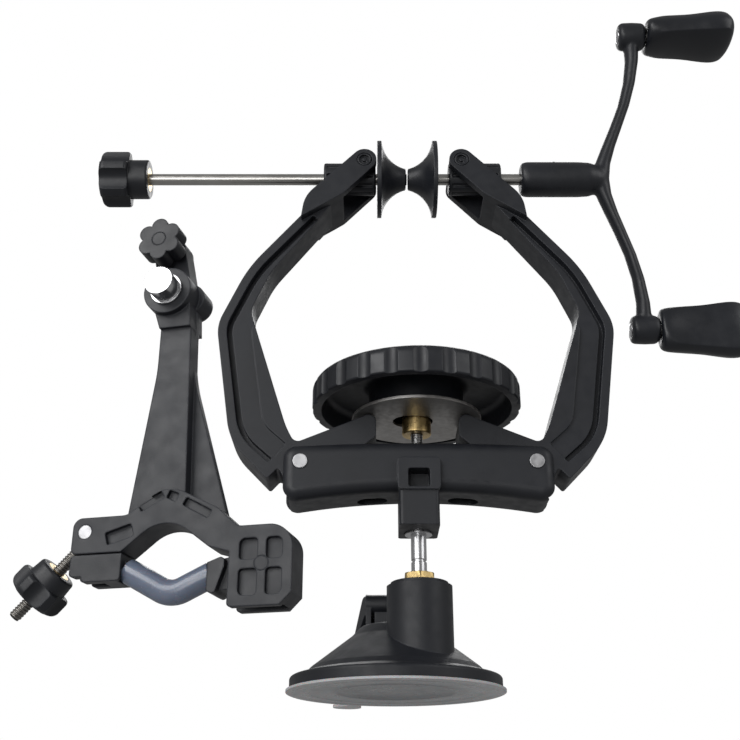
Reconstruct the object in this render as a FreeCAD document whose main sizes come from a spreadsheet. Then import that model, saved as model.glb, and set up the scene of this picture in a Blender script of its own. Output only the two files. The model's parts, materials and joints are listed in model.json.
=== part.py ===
import FreeCAD, Part
import math
import os
import re
import Sketcher
from FreeCAD import Rotation, Vector

# Fishing line winder: a bench winder on a suction foot, and the rod clamp of the same set.
# Millimetres and degrees. Origin: middle of the suction pad's underside; +Z up, +X to the crank.
# Every size below is a driving dimension of the sheet; a piece's outline is drawn from them.
SIZES = {
    # fits
    "shaft_play": 0.05,
    "seat_play": 0.02,
    "soft_gap": 0.3,
    # suction pad and its pull tab
    "pad_slope_radius": 35.0,
    "dome_crown_radius": 13.0,
    "dome_rim": 2.4,
    "tower_foot": 10.0,
    "thrust_rise": 57.4,
    "yoke_foot_rise": 7.8,
    "yoke_left": 8.0,
    "yoke_right": 3.0,
    "lever_brow": 6.0,
    "beam_depth": 24.0,
    "beam_arch_rise": 8.4,
    "block_top": -0.8,
    "frame_depth": 3.0,
    "pin_stand": 0.5,
    "wheel_seat_radius": 13.5,
    "crotch_side": 10.2,
    "crotch_rise": 118.0,
    "crook_low_side": 6.2,
    "crook_low_rise": 15.4,
    "crook_high_rise": 86.0,
    "crook_high_side": 14.6,
    "arm_panel": 8.0,
    "pad_radius": 41.8,
    "pad_rim": 1.2,
    "pad_boss_radius": 8.0,
    "pad_boss_top": 6.0,
    "tab_reach": 10.0,
    "tab_radius": 6.0,
    "tab_neck": 3.2,
    "tab_turn": 112,
    # foot moulding: ring, dome, post tower and cam saddle
    "ring_radius": 40.5,
    "ring_height": 4.3,
    "dome_shoulder_radius": 32.5,
    "dome_shoulder_rise": 9.2,
    "dome_waist_radius": 17.0,
    "dome_waist_rise": 20.9,
    "dome_rise": 25.0,
    "dome_wall": 3.2,
    "cavity_radius": 10.5,
    "cavity_rise": 19.0,
    "tower_radius": 12.5,
    "tower_rise": 37.4,
    "tower_collar_radius": 11.0,
    "tower_collar": 1.3,
    "post_side": 9.0,
    "post_front": 15.0,
    "saddle_left": 12.6,
    "saddle_right": 4.0,
    "saddle_width": 16.0,
    "saddle_rise": 30.1,
    # cam lever, its pin and the draw yoke
    "cam_side": 4.5,
    "cam_rise": 35.3,
    "cam_radius": 4.1,
    "cam_throw": 0.83,
    "lever_width": 23.0,
    "lever_reach": 16.0,
    "lever_foot": 13.0,
    "lever_flare": 34.4,
    "lever_skin": 1.8,
    "lever_cheek": 2.2,
    "leg_rise": 9.4,
    "leg_half": 1.4,
    "lever_turn": 90,
    "lever_pin_radius": 1.3,
    "yoke_thick": 3.0,
    "yoke_eye_radius": 3.0,
    "yoke_stem_radius": 2.6,
    "yoke_foot_radius": 5.5,
    "yoke_foot": 1.5,
    "draw_travel": 1.5,
    # post, swivel spigot, thrust ring and hexagon bush
    "post_radius": 3.0,
    "post_bottom": 14.0,
    "post_height": 52.0,
    "post_groove_rise": 46.6,
    "post_groove_width": 1.0,
    "post_groove": 0.4,
    "spigot_radius": 5.6,
    "spigot_wall_top": 2.2,
    "thrust_ring_radius": 5.3,
    "thrust_ring": 1.0,
    "bush_corner_radius": 6.35,
    "bush_head": 1.7,
    "bush_radius": 4.6,
    "bush_depth": 10.0,
    # crossbeam
    "pin_rise": 83.7,
    "pin_side": 45.9,
    "beam_half": 53.0,
    "beam_top": 7.0,
    "beam_end_drop": 16.0,
    "beam_arch_radius": 290.0,
    "beam_wall": 2.4,
    "beam_floor": 2.2,
    "beam_edge": 5.5,
    "beam_crown": 2.6,
    "beam_crown_radius": 800.0,
    "beam_round": 4.5,
    "beam_ramp": 5.0,
    "beam_hole_back": 3.0,
    "sleeve_round": 1.5,
    "window_round": 1.0,
    "beam_hole_side": 17.9,
    "beam_hole_length": 12.0,
    "beam_hole_width": 8.0,
    "sleeve_half": 7.7,
    "sleeve_front": 13.6,
    "sleeve_back": 8.0,
    "sleeve_drop": 25.5,
    "sleeve_top": 6.0,
    "frame_half": 8.2,
    "frame_proud": 1.0,
    "frame_bottom": 12.0,
    "frame_top": 0.8,
    "window_half": 4.2,
    "window_bottom": 11.0,
    "window_top": 3.6,
    "spigot_top_drop": 6.5,
    "sleeve_bore_top": 3.4,
    "pin_radius": 2.85,
    "pin_recess_radius": 4.0,
    "pin_recess": 0.6,
    # threaded stud, pressure disc, handwheel and its insert
    "stud_radius": 2.5,
    "stud_foot": 2.0,
    "stud_top": 44.0,
    "disc_rise": 20.8,
    "disc_radius": 26.1,
    "disc_thick": 1.2,
    "disc_slot_radius": 6.6,
    "disc_slot_run": 3.0,
    "insert_radius": 5.85,
    "insert_drop": 6.0,
    "insert_body_radius": 4.8,
    "insert_top": 16.0,
    "wheel_radius": 42.2,
    "wheel_wall": 3.6,
    "wheel_rim_bottom": 4.2,
    "wheel_rim_top": 13.4,
    "wheel_crown": 21.2,
    "wheel_hub_radius": 20.0,
    "wheel_skin": 3.2,
    "scallop_radius": 4.2,
    "scallop_depth": 1.1,
    "scallops": 24,
    # arms: cranked levers of I section, forked at the head, with a finger under the disc
    "arm_depth": 18.0,
    "arm_play": 0.5,
    "arm_flange": 3.6,
    "arm_groove": 2.2,
    "arm_groove_depth": 4.0,
    "arm_panel_depth": 1.2,
    "arm_eye_radius": 7.0,
    "elbow_side": 36.0,
    "elbow_rise": 60.0,
    "heel_side": 28.3,
    "heel_rise": 9.6,
    "brow_side": 24.2,
    "brow_rise": 87.0,
    "neck_side": 2.4,
    "neck_rise": 113.0,
    "toe_side": 12.9,
    "toe_drop": 6.2,
    "crook_side": 22.6,
    "crook_rise": 67.2,
    "fork_side": 24.65,
    "fork_rise": 138.9,
    "axis_rise": 136.8,
    "ear_radius": 5.3,
    "ear_thick": 3.5,
    "ear_lean": 46,
    "ear_bend_side": 1.1,
    "ear_bend_rise": 120.0,
    "ear_inner_side": 15.5,
    "ear_inner_rise": 121.5,
    "ear_bend_radius": 15.0,
    "ear_inner_radius": 8.0,
    "fork_floor": 3.6,
    "fork_lip_side": 2.0,
    "fork_lip_radius": 6.0,
    "fork_gap": 19.0,
    "finger_side": 29.5,
    "finger_rise": 17.5,
    "finger_radius": 3.0,
    # holders, their bushes and pivot screws
    "holder_inner": 5.0,
    "holder_outer": 18.0,
    "holder_radius": 7.2,
    "holder_rib": 1.4,
    "holder_flute_radius": 0.9,
    "holder_flutes": 10,
    "lug_tube_radius": 3.9,
    "lug_tube": 18.4,
    "holder_bush_radius": 4.0,
    "screw_radius": 2.0,
    "screw_head_radius": 3.1,
    "screw_head": 1.4,
    "screw_reach": 4.6,
    # spindles and cones
    "spindle_radius": 2.5,
    "nip_side": 2.4,
    "nip_gap": 0.45,
    "rod_nose": 0.3,
    "cone_length": 12.7,
    "cone_radius": 17.1,
    "cone_nose_radius": 4.7,
    "cone_edge": 1.8,
    # lobed knob at the end of the left spindle
    "knob_start": 117.4,
    "knob_hub_radius": 8.65,
    "knob_hub": 8.3,
    "knob_radius": 12.25,
    "knob_lobe": 12.4,
    "knob_lobes": 6,
    "knob_insert_radius": 5.2,
    "knob_insert": 12.0,
    # crank with two paddle grips
    "crank_start": 48.5,
    "crank_hub": 33.5,
    "crank_hub_radius": 7.8,
    "crank_root": 82.0,
    "crank_knee": 91.5,
    "crank_knee_rise": 24.0,
    "crank_end": 101.0,
    "crank_end_rise": 50.0,
    "crank_half": 3.1,
    "crank_arm": 69.0,
    "crank_turn": 13.0,
    "crank_depth": 8.0,
    "eyelet_start": 95.0,
    "eyelet": 12.0,
    "eyelet_radius": 6.7,
    "set_screw_radius": 1.6,
    "set_screw": 5.4,
    "grip_seat": 14.0,
    "axle_radius": 2.2,
    "axle_head_radius": 3.0,
    "axle_head": 0.8,
    "grip_length": 39.5,
    "grip_neck_radius": 8.2,
    "grip_half_width": 13.0,
    "grip_half_thick": 7.6,
    "grip_play": 0.4,
    "upper_grip_turn": 88,
    "lower_grip_turn": 0,
    # rod clamp: where it stands
    "clamp_side": 53.8,
    "clamp_front": 157.5,
    "clamp_turn": 13.7,
    # clamp frame
    "clamp_depth": 9.0,
    "jaw_end": 31.6,
    "jaw_rise": 15.2,
    "jaw_top": 24.5,
    "vee_side": 17.9,
    "vee_apex_side": 6.5,
    "vee_apex_rise": 24.3,
    "vee_right": 5.4,
    "vee_round": 9.6,
    "arch_top": 32.0,
    "arch_round": 8.0,
    "slot_half": 1.1,
    "shoulder_side": 16.9,
    "shoulder_round": 4.0,
    "box_left": 11.0,
    "box_right": 27.2,
    "box_rise": 19.8,
    "box_wall": 2.6,
    "box_pocket": 1.3,
    "knuckle_side": 19.4,
    "knuckle_rise": 10.2,
    "knuckle_radius": 4.8,
    "knuckle_thick": 4.4,
    "jaw_pin_radius": 1.8,
    "column_left": 12.6,
    "column_right": -3.8,
    "column_top": 82.6,
    "column_foot_left": 17.6,
    "column_plate": 2.2,
    "rib_left": 3.7,
    "rib_right": 1.8,
    "rib_lean": 2.3,
    "head_side": 10.3,
    "head_rise": 87.0,
    "head_radius": 6.8,
    "head_depth": 13.0,
    "stub_radius": 4.0,
    "stub_reach": 6.0,
    "stub_ring": 1.0,
    "stub_ring_radius": 4.5,
    "stub_seat_radius": 3.2,
    "lug_side": 13.8,
    "lug_rise": 103.4,
    "lug_radius": 4.8,
    "lug_thick": 6.0,
    "lobe_side": 6.4,
    "lobe_radius": 4.4,
    "column_foot": 64.0,
    "column_step": 3.4,
    "column_set": 1.2,
    "column_sweep": 48.0,
    "spoke_half": 1.1,
    # star knob
    "star_radius": 6.4,
    "star_thick": 5.6,
    "star_screw_radius": 2.0,
    "star_gap": 2.1,
    "star_lobes": 6,
    # clamp jaw with its soft sleeve
    "lower_jaw_low": 9.4,
    "lower_jaw_tab": 1.4,
    "lower_jaw_right": 17.7,
    "lower_jaw_depth": 8.4,
    "jaw_slot": 3.4,
    "tongue_radius": 1.8,
    "sleeve_radius": 3.2,
    "sag_side": 5.2,
    "sag_rise": 4.4,
    "bend_radius": 6.4,
    "sag_left_rise": 11.3,
    "sag_left_slope": 0.668,
    "sag_right_rise": 9.2,
    "sag_right_slope": 0.444,
    "collar_low": 3.2,
    "collar_toe": 7.4,
    "collar_gap": 1.2,
    # swing bolt and its lobed nut
    "bolt_pin_side": 28.2,
    "bolt_pin_rise": 20.8,
    "bolt_pin_radius": 1.8,
    "bolt_eye_radius": 3.4,
    "bolt_eye": 3.4,
    "bolt_radius": 1.6,
    "bolt_length": 28.0,
    "bolt_lean": 45.0,
    "nut_start": 12.2,
    "nut_hub": 4.0,
    "nut_hub_radius": 5.1,
    "nut_lobe": 5.6,
    "nut_radius": 7.4,
    "nut_insert_radius": 3.2,
    "nut_lobes": 6,
}

# Grip sections: place along the length, width and thickness, as shares of the grip's sizes.
GRIP_SECTIONS = ((0, 0.74, 0.9), (0.12, 0.78, 0.95), (0.45, 0.92, 1), (0.72, 1, 0.98), (0.9, 0.93, 0.86),
                 (0.98, 0.72, 0.6), (1, 0.45, 0.3))

ALIAS = re.compile(r"[a-z][a-z_]+")
NODES = []

document = FreeCAD.newDocument("line_winder")
sheet = document.addObject("Spreadsheet::Sheet", "Size")
for row, (alias, size) in enumerate(SIZES.items(), start=1):
    sheet.set(f"A{row}", alias)
    sheet.set(f"B{row}", str(size))
    sheet.setAlias(f"B{row}", alias)
document.recompute()


def bind(text):
    """The expression with each alias pointed at the sheet."""
    return ALIAS.sub(lambda word: "Size." + word.group(0) if word.group(0) in SIZES else word.group(0), text)


def value(text):
    """What an expression comes to now."""
    return float(sheet.evalExpression(bind(text)))


# ---- sketches ----

def plane(part, role):
    return next(feature for feature in part.Origin.OriginFeatures if feature.Role == role)


def corner_arc(before, corner, after, radius):
    """Where a rounding of this corner starts and ends, and its centre."""
    back = (before - corner).normalize()
    ahead = (after - corner).normalize()
    half = back.getAngle(ahead) / 2
    run = radius / math.tan(half)
    centre = corner + (back + ahead).normalize() * (radius / math.sin(half))
    return corner + back * run, corner + ahead * run, centre


def outline(drawing, corners):
    """A closed outline through corners (x, y) or (x, y, radius), each bound to the sheet."""
    total = len(corners)
    spots = [Vector(value(corner[0]), value(corner[1]), 0) for corner in corners]
    enter = list(spots)
    leave = list(spots)
    middle = [None] * total
    for i, corner in enumerate(corners):
        if len(corner) > 2:
            after = spots[(i + 1) % total]
            enter[i], leave[i], middle[i] = corner_arc(spots[i - 1], spots[i], after, value(corner[2]))
    first = drawing.GeometryCount
    shapes = [Part.LineSegment(leave[i], enter[(i + 1) % total]) for i in range(total)]
    rules = []
    sizes = []
    marks = []
    for i, corner in enumerate(corners):
        line_in = first + (i - 1) % total
        line_out = first + i
        mark = line_out
        if middle[i] is None:
            rules.append(Sketcher.Constraint("Coincident", line_in, 2, line_out, 1))
        else:
            arc = first + len(shapes)
            turn_left = (spots[i] - spots[i - 1]).cross(spots[(i + 1) % total] - spots[i]).z > 0
            begin, finish = (enter[i], leave[i]) if turn_left else (leave[i], enter[i])
            spoke = begin - middle[i]
            far_spoke = finish - middle[i]
            ring = Part.Circle(middle[i], Vector(0, 0, 1), spoke.Length)
            shapes.append(Part.ArcOfCircle(ring, math.atan2(spoke.y, spoke.x), math.atan2(far_spoke.y, far_spoke.x)))
            start_end, last_end = (1, 2) if turn_left else (2, 1)
            rules.append(Sketcher.Constraint("Tangent", line_in, 2, arc, start_end))
            rules.append(Sketcher.Constraint("Tangent", arc, last_end, line_out, 1))
            sizes.append((len(rules), corner[2]))
            rules.append(Sketcher.Constraint("Radius", arc, spoke.Length))
            mark = first + len(shapes)
            shapes.append(Part.Point(spots[i]))
            marks.append(mark)
            rules.append(Sketcher.Constraint("PointOnObject", mark, 1, line_in))
            rules.append(Sketcher.Constraint("PointOnObject", mark, 1, line_out))
        places = (("DistanceX", -2, corner[0], spots[i].x), ("DistanceY", -1, corner[1], spots[i].y))
        for kind, axis, text, place in places:
            if text == "0":
                rules.append(Sketcher.Constraint("PointOnObject", mark, 1, axis))
            else:
                sizes.append((len(rules), text))
                rules.append(Sketcher.Constraint(kind, -1, 1, mark, 1, place))
    constrain(drawing, shapes, marks, rules, sizes)


def constrain(drawing, shapes, marks, rules, sizes):
    base = drawing.ConstraintCount
    drawing.addGeometry(shapes, False)
    for mark in marks:
        drawing.setConstruction(mark, True)
    drawing.addConstraint(rules)
    for index, text in sizes:
        drawing.setExpression(f"Constraints[{base + index}]", bind(text))


def ring(drawing, x, y, radius):
    """A full circle in a sketch."""
    first = drawing.GeometryCount
    middle = Vector(value(x), value(y), 0)
    rules = []
    sizes = []
    for kind, axis, text, place in (("DistanceX", -2, x, middle.x), ("DistanceY", -1, y, middle.y)):
        if text == "0":
            rules.append(Sketcher.Constraint("PointOnObject", first, 3, axis))
        else:
            sizes.append((len(rules), text))
            rules.append(Sketcher.Constraint(kind, -1, 1, first, 3, place))
    sizes.append((len(rules), radius))
    rules.append(Sketcher.Constraint("Radius", first, value(radius)))
    constrain(drawing, [Part.Circle(middle, Vector(0, 0, 1), value(radius))], [], rules, sizes)


def drawn(part, role, shapes, middle="0"):
    """A sketch on one of the part's own planes, raised to the middle of what it makes."""
    drawing = part.newObject("Sketcher::SketchObject", part.Label + "_outline")
    drawing.AttachmentSupport = [(plane(part, role), "")]
    drawing.MapMode = "FlatFace"
    if middle != "0":
        drawing.setExpression("AttachmentOffset.Base.z", bind(middle))
    for shape in shapes:
        if isinstance(shape, tuple):
            ring(drawing, *shape)
        else:
            outline(drawing, shape)
    return drawing


# ---- features ----

def body(label):
    part = document.addObject("PartDesign::Body", label)
    part.Label = label
    NODES.append(part)
    return part


def slab(part, kind, role, shapes, thick, middle="0"):
    """A pad or pocket that reaches half its thickness to each side of the sketch."""
    feature = part.newObject("PartDesign::" + kind, part.Label + "_" + kind.lower())
    feature.Profile = drawn(part, role, shapes, middle)
    feature.SideType = "Symmetric"
    feature.setExpression("Length", bind(thick))
    part.Tip = feature
    return feature


def pad(part, role, shapes, thick, middle="0"):
    return slab(part, "Pad", role, shapes, thick, middle)


def pocket(part, role, shapes, thick, middle="0"):
    return slab(part, "Pocket", role, shapes, thick, middle)


def turn(part, corners, axis="V_Axis", kind="Revolution"):
    """A turned form: an outline on the XZ plane spun round the sketch's own axis."""
    drawing = drawn(part, "XZ_Plane", [corners])
    feature = part.newObject("PartDesign::" + kind, part.Label + "_" + kind.lower())
    feature.Profile = drawing
    feature.ReferenceAxis = (drawing, [axis])
    feature.Angle = 360
    part.Tip = feature
    return feature


def around(part, feature, axis, count):
    """The feature repeated evenly about one of the part's own axes."""
    pattern = part.newObject("PartDesign::PolarPattern", part.Label + "_pattern")
    pattern.Originals = [feature]
    pattern.Axis = (plane(part, axis), [""])
    pattern.Angle = 360
    pattern.setExpression("Occurrences", bind(count))
    part.Tip = pattern
    return pattern


def soften(part, radius, chosen):
    """A fillet on the edges that the test picks."""
    document.recompute()
    before = part.Tip
    names = [f"Edge{i}" for i, edge in enumerate(before.Shape.Edges, start=1) if chosen(edge)]
    feature = part.newObject("PartDesign::Fillet", part.Label + "_fillet")
    feature.Base = (before, names)
    feature.setExpression("Radius", bind(radius))
    part.Tip = feature
    return feature


def place(part, x="0", y="0", z="0", turn_z="0", turn_x="0"):
    """The part's place in the whole, bound to the sheet, turned about one upright or level axis."""
    part.setExpression("Placement.Base.x", bind(x))
    part.setExpression("Placement.Base.y", bind(y))
    part.setExpression("Placement.Base.z", bind(z))
    for text, axis in ((turn_z, Vector(0, 0, 1)), (turn_x, Vector(1, 0, 0))):
        if text != "0":
            part.Placement.Rotation = Rotation(axis, value(text))
            part.setExpression("Placement.Rotation.Angle", bind(text))
    return part


def rod(label, radius, start, length, side="0", rise="0", axis="y"):
    """A plain cylinder along one axis, as a primitive."""
    piece = document.addObject("Part::Cylinder", label)
    piece.Label = label
    piece.setExpression("Radius", bind(radius))
    piece.setExpression("Height", bind(length))
    lie = {"x": Rotation(Vector(0, 1, 0), 90), "y": Rotation(Vector(1, 0, 0), -90), "z": Rotation()}
    piece.Placement.Rotation = lie[axis]
    bases = {"x": (start, side, rise), "y": (side, start, rise), "z": (side, rise, start)}
    for name, text in zip("xyz", bases[axis]):
        piece.setExpression("Placement.Base." + name, bind(text))
    return piece


def joined(label, pieces):
    """Primitives fused into one solid."""
    whole = document.addObject("Part::MultiFuse", label)
    whole.Label = label
    whole.Shapes = pieces
    return whole


def pierced(label, base, tool):
    """One object with another cut out of it."""
    whole = document.addObject("Part::Cut", label)
    whole.Label = label
    whole.Base = base
    whole.Tool = tool
    NODES.append(whole)
    return whole


def grouped(label, pieces):
    """Identical separate solids kept as one node."""
    whole = document.addObject("Part::Compound", label)
    whole.Label = label
    whole.Links = pieces
    NODES.append(whole)
    return whole


def box(left, right, bottom, top, radius=None):
    """A rectangle's four corners."""
    corners = [(left, bottom), (right, bottom), (right, top), (left, top)]
    return [corner + (radius,) for corner in corners] if radius else corners


# ---- suction foot ----

def suction_pad():
    part = body("suction_pad")
    turn(part, [("0", "0"), ("pad_radius", "0"), ("pad_radius", "pad_rim"), ("pad_slope_radius", "pad_rim"),
                ("pad_boss_radius + 1", "pad_boss_top - pad_rim"), ("pad_boss_radius", "pad_boss_top"),
                ("0", "pad_boss_top")])
    reach = "(pad_radius + tab_reach)"
    spots = [("pad_radius * 0.9", "-tab_neck"), (reach, "-tab_neck"), (reach, "tab_neck"),
             ("pad_radius * 0.9", "tab_neck")]
    neck = [(f"{x} * cos(tab_turn) - ({y}) * sin(tab_turn)", f"{x} * sin(tab_turn) + ({y}) * cos(tab_turn)")
            for x, y in spots]
    pad(part, "XY_Plane", [neck], "pad_rim", "pad_rim / 2")
    tab = (f"{reach} * cos(tab_turn)", f"{reach} * sin(tab_turn)", "tab_radius")
    pad(part, "XY_Plane", [tab], "pad_rim", "pad_rim / 2")


def base_housing():
    """Ring, dome, post tower and cam saddle in one moulding, hollow underneath."""
    part = body("base_housing")
    turn(part, [("0", "pad_rim"), ("ring_radius", "pad_rim"), ("ring_radius", "pad_rim + ring_height", "1.2"),
                ("dome_shoulder_radius + 2", "dome_shoulder_rise - 2"),
                ("dome_shoulder_radius", "dome_shoulder_rise", "1"), ("dome_waist_radius", "dome_waist_rise", "6"),
                ("dome_crown_radius", "dome_rise", "3"), ("0", "dome_rise")])
    turn(part, [("0", "0"), ("ring_radius - dome_wall", "0"), ("ring_radius - dome_wall", "pad_rim + dome_rim"),
                ("dome_shoulder_radius - dome_wall / 2", "dome_shoulder_rise - dome_wall"),
                ("dome_waist_radius", "cavity_rise - dome_wall"), ("cavity_radius", "cavity_rise"),
                ("0", "cavity_rise")], kind="Groove")
    tower = ("post_side", "-post_front", "tower_radius")
    pad(part, "XY_Plane", [tower], "tower_rise - tower_foot", "(tower_rise + tower_foot) / 2")
    collar = ("post_side", "-post_front", "tower_collar_radius")
    pad(part, "XY_Plane", [collar], "tower_collar * 2", "tower_rise")
    saddle = box("-saddle_right", "saddle_left", "cavity_rise", "saddle_rise")
    pad(part, "YZ_Plane", [saddle], "saddle_width")
    pocket(part, "XY_Plane", [("post_side", "-post_front", "post_radius + seat_play")], "post_height",
           "post_bottom + post_height / 2")
    pocket(part, "XY_Plane", [("post_side", "-post_front", "bush_radius + seat_play")], "bush_depth",
           "tower_rise + tower_collar - bush_depth / 2")
    pocket(part, "XY_Plane", [("0", "0", "yoke_stem_radius + shaft_play")], "dome_rise", "saddle_rise")
    slot = box("-yoke_right", "yoke_left + soft_gap", "cavity_rise - 1", "saddle_rise + 1")
    pocket(part, "YZ_Plane", [slot], "yoke_thick + soft_gap * 2")


def draw_yoke():
    """Foot and stem that lift the middle of the pad, with the flat eye the cam lever hangs on."""
    part = place(body("draw_yoke"), turn_z="-lever_turn")
    turn(part, [("0", "yoke_foot_rise"), ("yoke_foot_radius", "yoke_foot_rise"),
                ("yoke_foot_radius", "yoke_foot_rise + yoke_foot"),
                ("yoke_stem_radius", "yoke_foot_rise + yoke_foot"), ("yoke_stem_radius", "saddle_rise - 1"),
                ("0", "saddle_rise - 1")])
    plate = [("-yoke_left", "cavity_rise + draw_travel + 0.5"), ("yoke_stem_radius - 0.1", "cavity_rise + draw_travel + 0.5"),
             ("yoke_stem_radius - 0.1", "saddle_rise - 1"), ("-cam_side + yoke_eye_radius", "cam_rise"),
             ("-cam_side - yoke_eye_radius", "cam_rise")]
    pad(part, "XZ_Plane", [plate], "yoke_thick")
    pad(part, "XZ_Plane", [("-cam_side", "cam_rise", "yoke_eye_radius")], "yoke_thick")
    pocket(part, "XZ_Plane", [("-cam_side", "cam_rise", "lever_pin_radius + shaft_play")], "lever_width")


def cam_lever():
    """Flared handle on two cheeks; the cam between them bears on the saddle, legs stand beside it."""
    part = place(body("cam_lever"), "0", "cam_side", "cam_rise", "-lever_turn")
    pad(part, "XZ_Plane", [("-cam_throw", "-cam_throw", "cam_radius")], "lever_width")
    heel = "(cam_radius + cam_throw)"
    handle = [("-cam_throw", "cam_radius - cam_throw"), ("-lever_brow", "cam_radius - cam_throw", "3"),
              ("-lever_reach", "-lever_foot", "0.8"), ("lever_skin - lever_reach", "-lever_foot - 0.8", "0.8"),
              (f"0.8 - {heel}", "-cam_radius"), ("-cam_throw", f"-{heel}")]
    pad(part, "XZ_Plane", [handle], "lever_flare")
    side = "lever_width / 2"
    far = "lever_flare"
    for sign in ("", "-"):
        flank = [("cam_radius * 2", f"{sign}{side}"), ("-lever_brow / 2", f"{sign}{side}"),
                 ("-lever_reach - 1", f"{sign}lever_flare / 2"), ("-lever_reach - 1", f"{sign}{far}"),
                 ("cam_radius * 2", f"{sign}{far}")]
        pocket(part, "XY_Plane", [flank], "lever_foot * 4")
    leg = [("cam_radius - cam_throw", "0"), ("leg_half + 0.8", "-leg_rise", "0.6"), ("0.4 - leg_half", "-leg_rise", "0.6"),
           (f"0.4 - {heel}", "-cam_throw * 2")]
    room = [("lever_skin - lever_reach - 1", "-lever_foot - 2"), ("lever_skin * 1.5 - lever_brow - 3", "0.6 - cam_throw"),
            (f"-{heel} - 0.3", "0.6 - cam_throw"), (f"-{heel} - 0.3", f"-{heel} - 0.02"),
            ("cam_radius * 2", f"-{heel} - 0.02"), ("cam_radius * 2", "-lever_foot - 2")]
    pocket(part, "XZ_Plane", [room], "lever_width - lever_cheek * 2")
    for sign in ("", "-"):
        pad(part, "XZ_Plane", [leg], "lever_cheek", f"{sign}(lever_width - lever_cheek) / 2")
    slot = [("-yoke_eye_radius - 0.7", "-cam_radius * 2"), ("-yoke_eye_radius - 0.7", "1.5"),
            ("-1.2", "yoke_eye_radius + 0.8"), ("cam_radius", "cam_radius * 1.6"), ("cam_radius * 2", "cam_radius"),
            ("cam_radius * 2", "-cam_radius * 2")]
    pocket(part, "XZ_Plane", [slot], "yoke_thick + soft_gap * 2")
    pocket(part, "XZ_Plane", [("0", "0", "lever_pin_radius + seat_play")], "lever_width * 2")


def lever_pin():
    NODES.append(rod("lever_pin", "lever_pin_radius", "-lever_width / 2", "lever_width", "cam_side", "cam_rise", "x"))


# ---- post ----

def post():
    part = body("post")
    place(part, "post_side", "-post_front", "0")
    groove = "post_radius - post_groove"
    turn(part, [("0", "post_bottom"), ("post_radius", "post_bottom"), ("post_radius", "post_groove_rise"),
                (groove, "post_groove_rise"), (groove, "post_groove_rise + post_groove_width"),
                ("post_radius", "post_groove_rise + post_groove_width"), ("post_radius", "post_bottom + post_height"),
                ("0", "post_bottom + post_height")])


def swivel_spigot():
    part = body("swivel_spigot")
    place(part, "post_side", "-post_front", "0")
    seat = "thrust_rise + thrust_ring"
    bore = "post_radius + seat_play"
    top = "pin_rise - spigot_top_drop"
    turn(part, [("spigot_radius", seat), ("spigot_radius", top, "0.6"), ("0", top),
                ("0", "post_bottom + post_height + seat_play"), (bore, "post_bottom + post_height + seat_play"),
                (bore, seat)])


def thrust_ring():
    part = body("thrust_ring")
    place(part, "post_side", "-post_front", "thrust_rise")
    turn(part, [("post_radius + seat_play", "0"), ("thrust_ring_radius", "0"), ("thrust_ring_radius", "thrust_ring"),
                ("post_radius + seat_play", "thrust_ring")])


def brass_bush():
    """Hexagon-headed bush that clamps the post in the tower."""
    part = body("brass_bush")
    place(part, "post_side", "-post_front", "tower_rise + tower_collar")
    hexagon = [(f"bush_corner_radius * cos({turn})", f"bush_corner_radius * sin({turn})")
               for turn in range(0, 360, 60)]
    pad(part, "XY_Plane", [hexagon], "bush_head", "bush_head / 2")
    pad(part, "XY_Plane", [("0", "0", "bush_radius")], "bush_depth", "-bush_depth / 2")
    pocket(part, "XY_Plane", [("0", "0", "post_radius + seat_play")], "bush_depth * 3")


# ---- head ----

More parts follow.
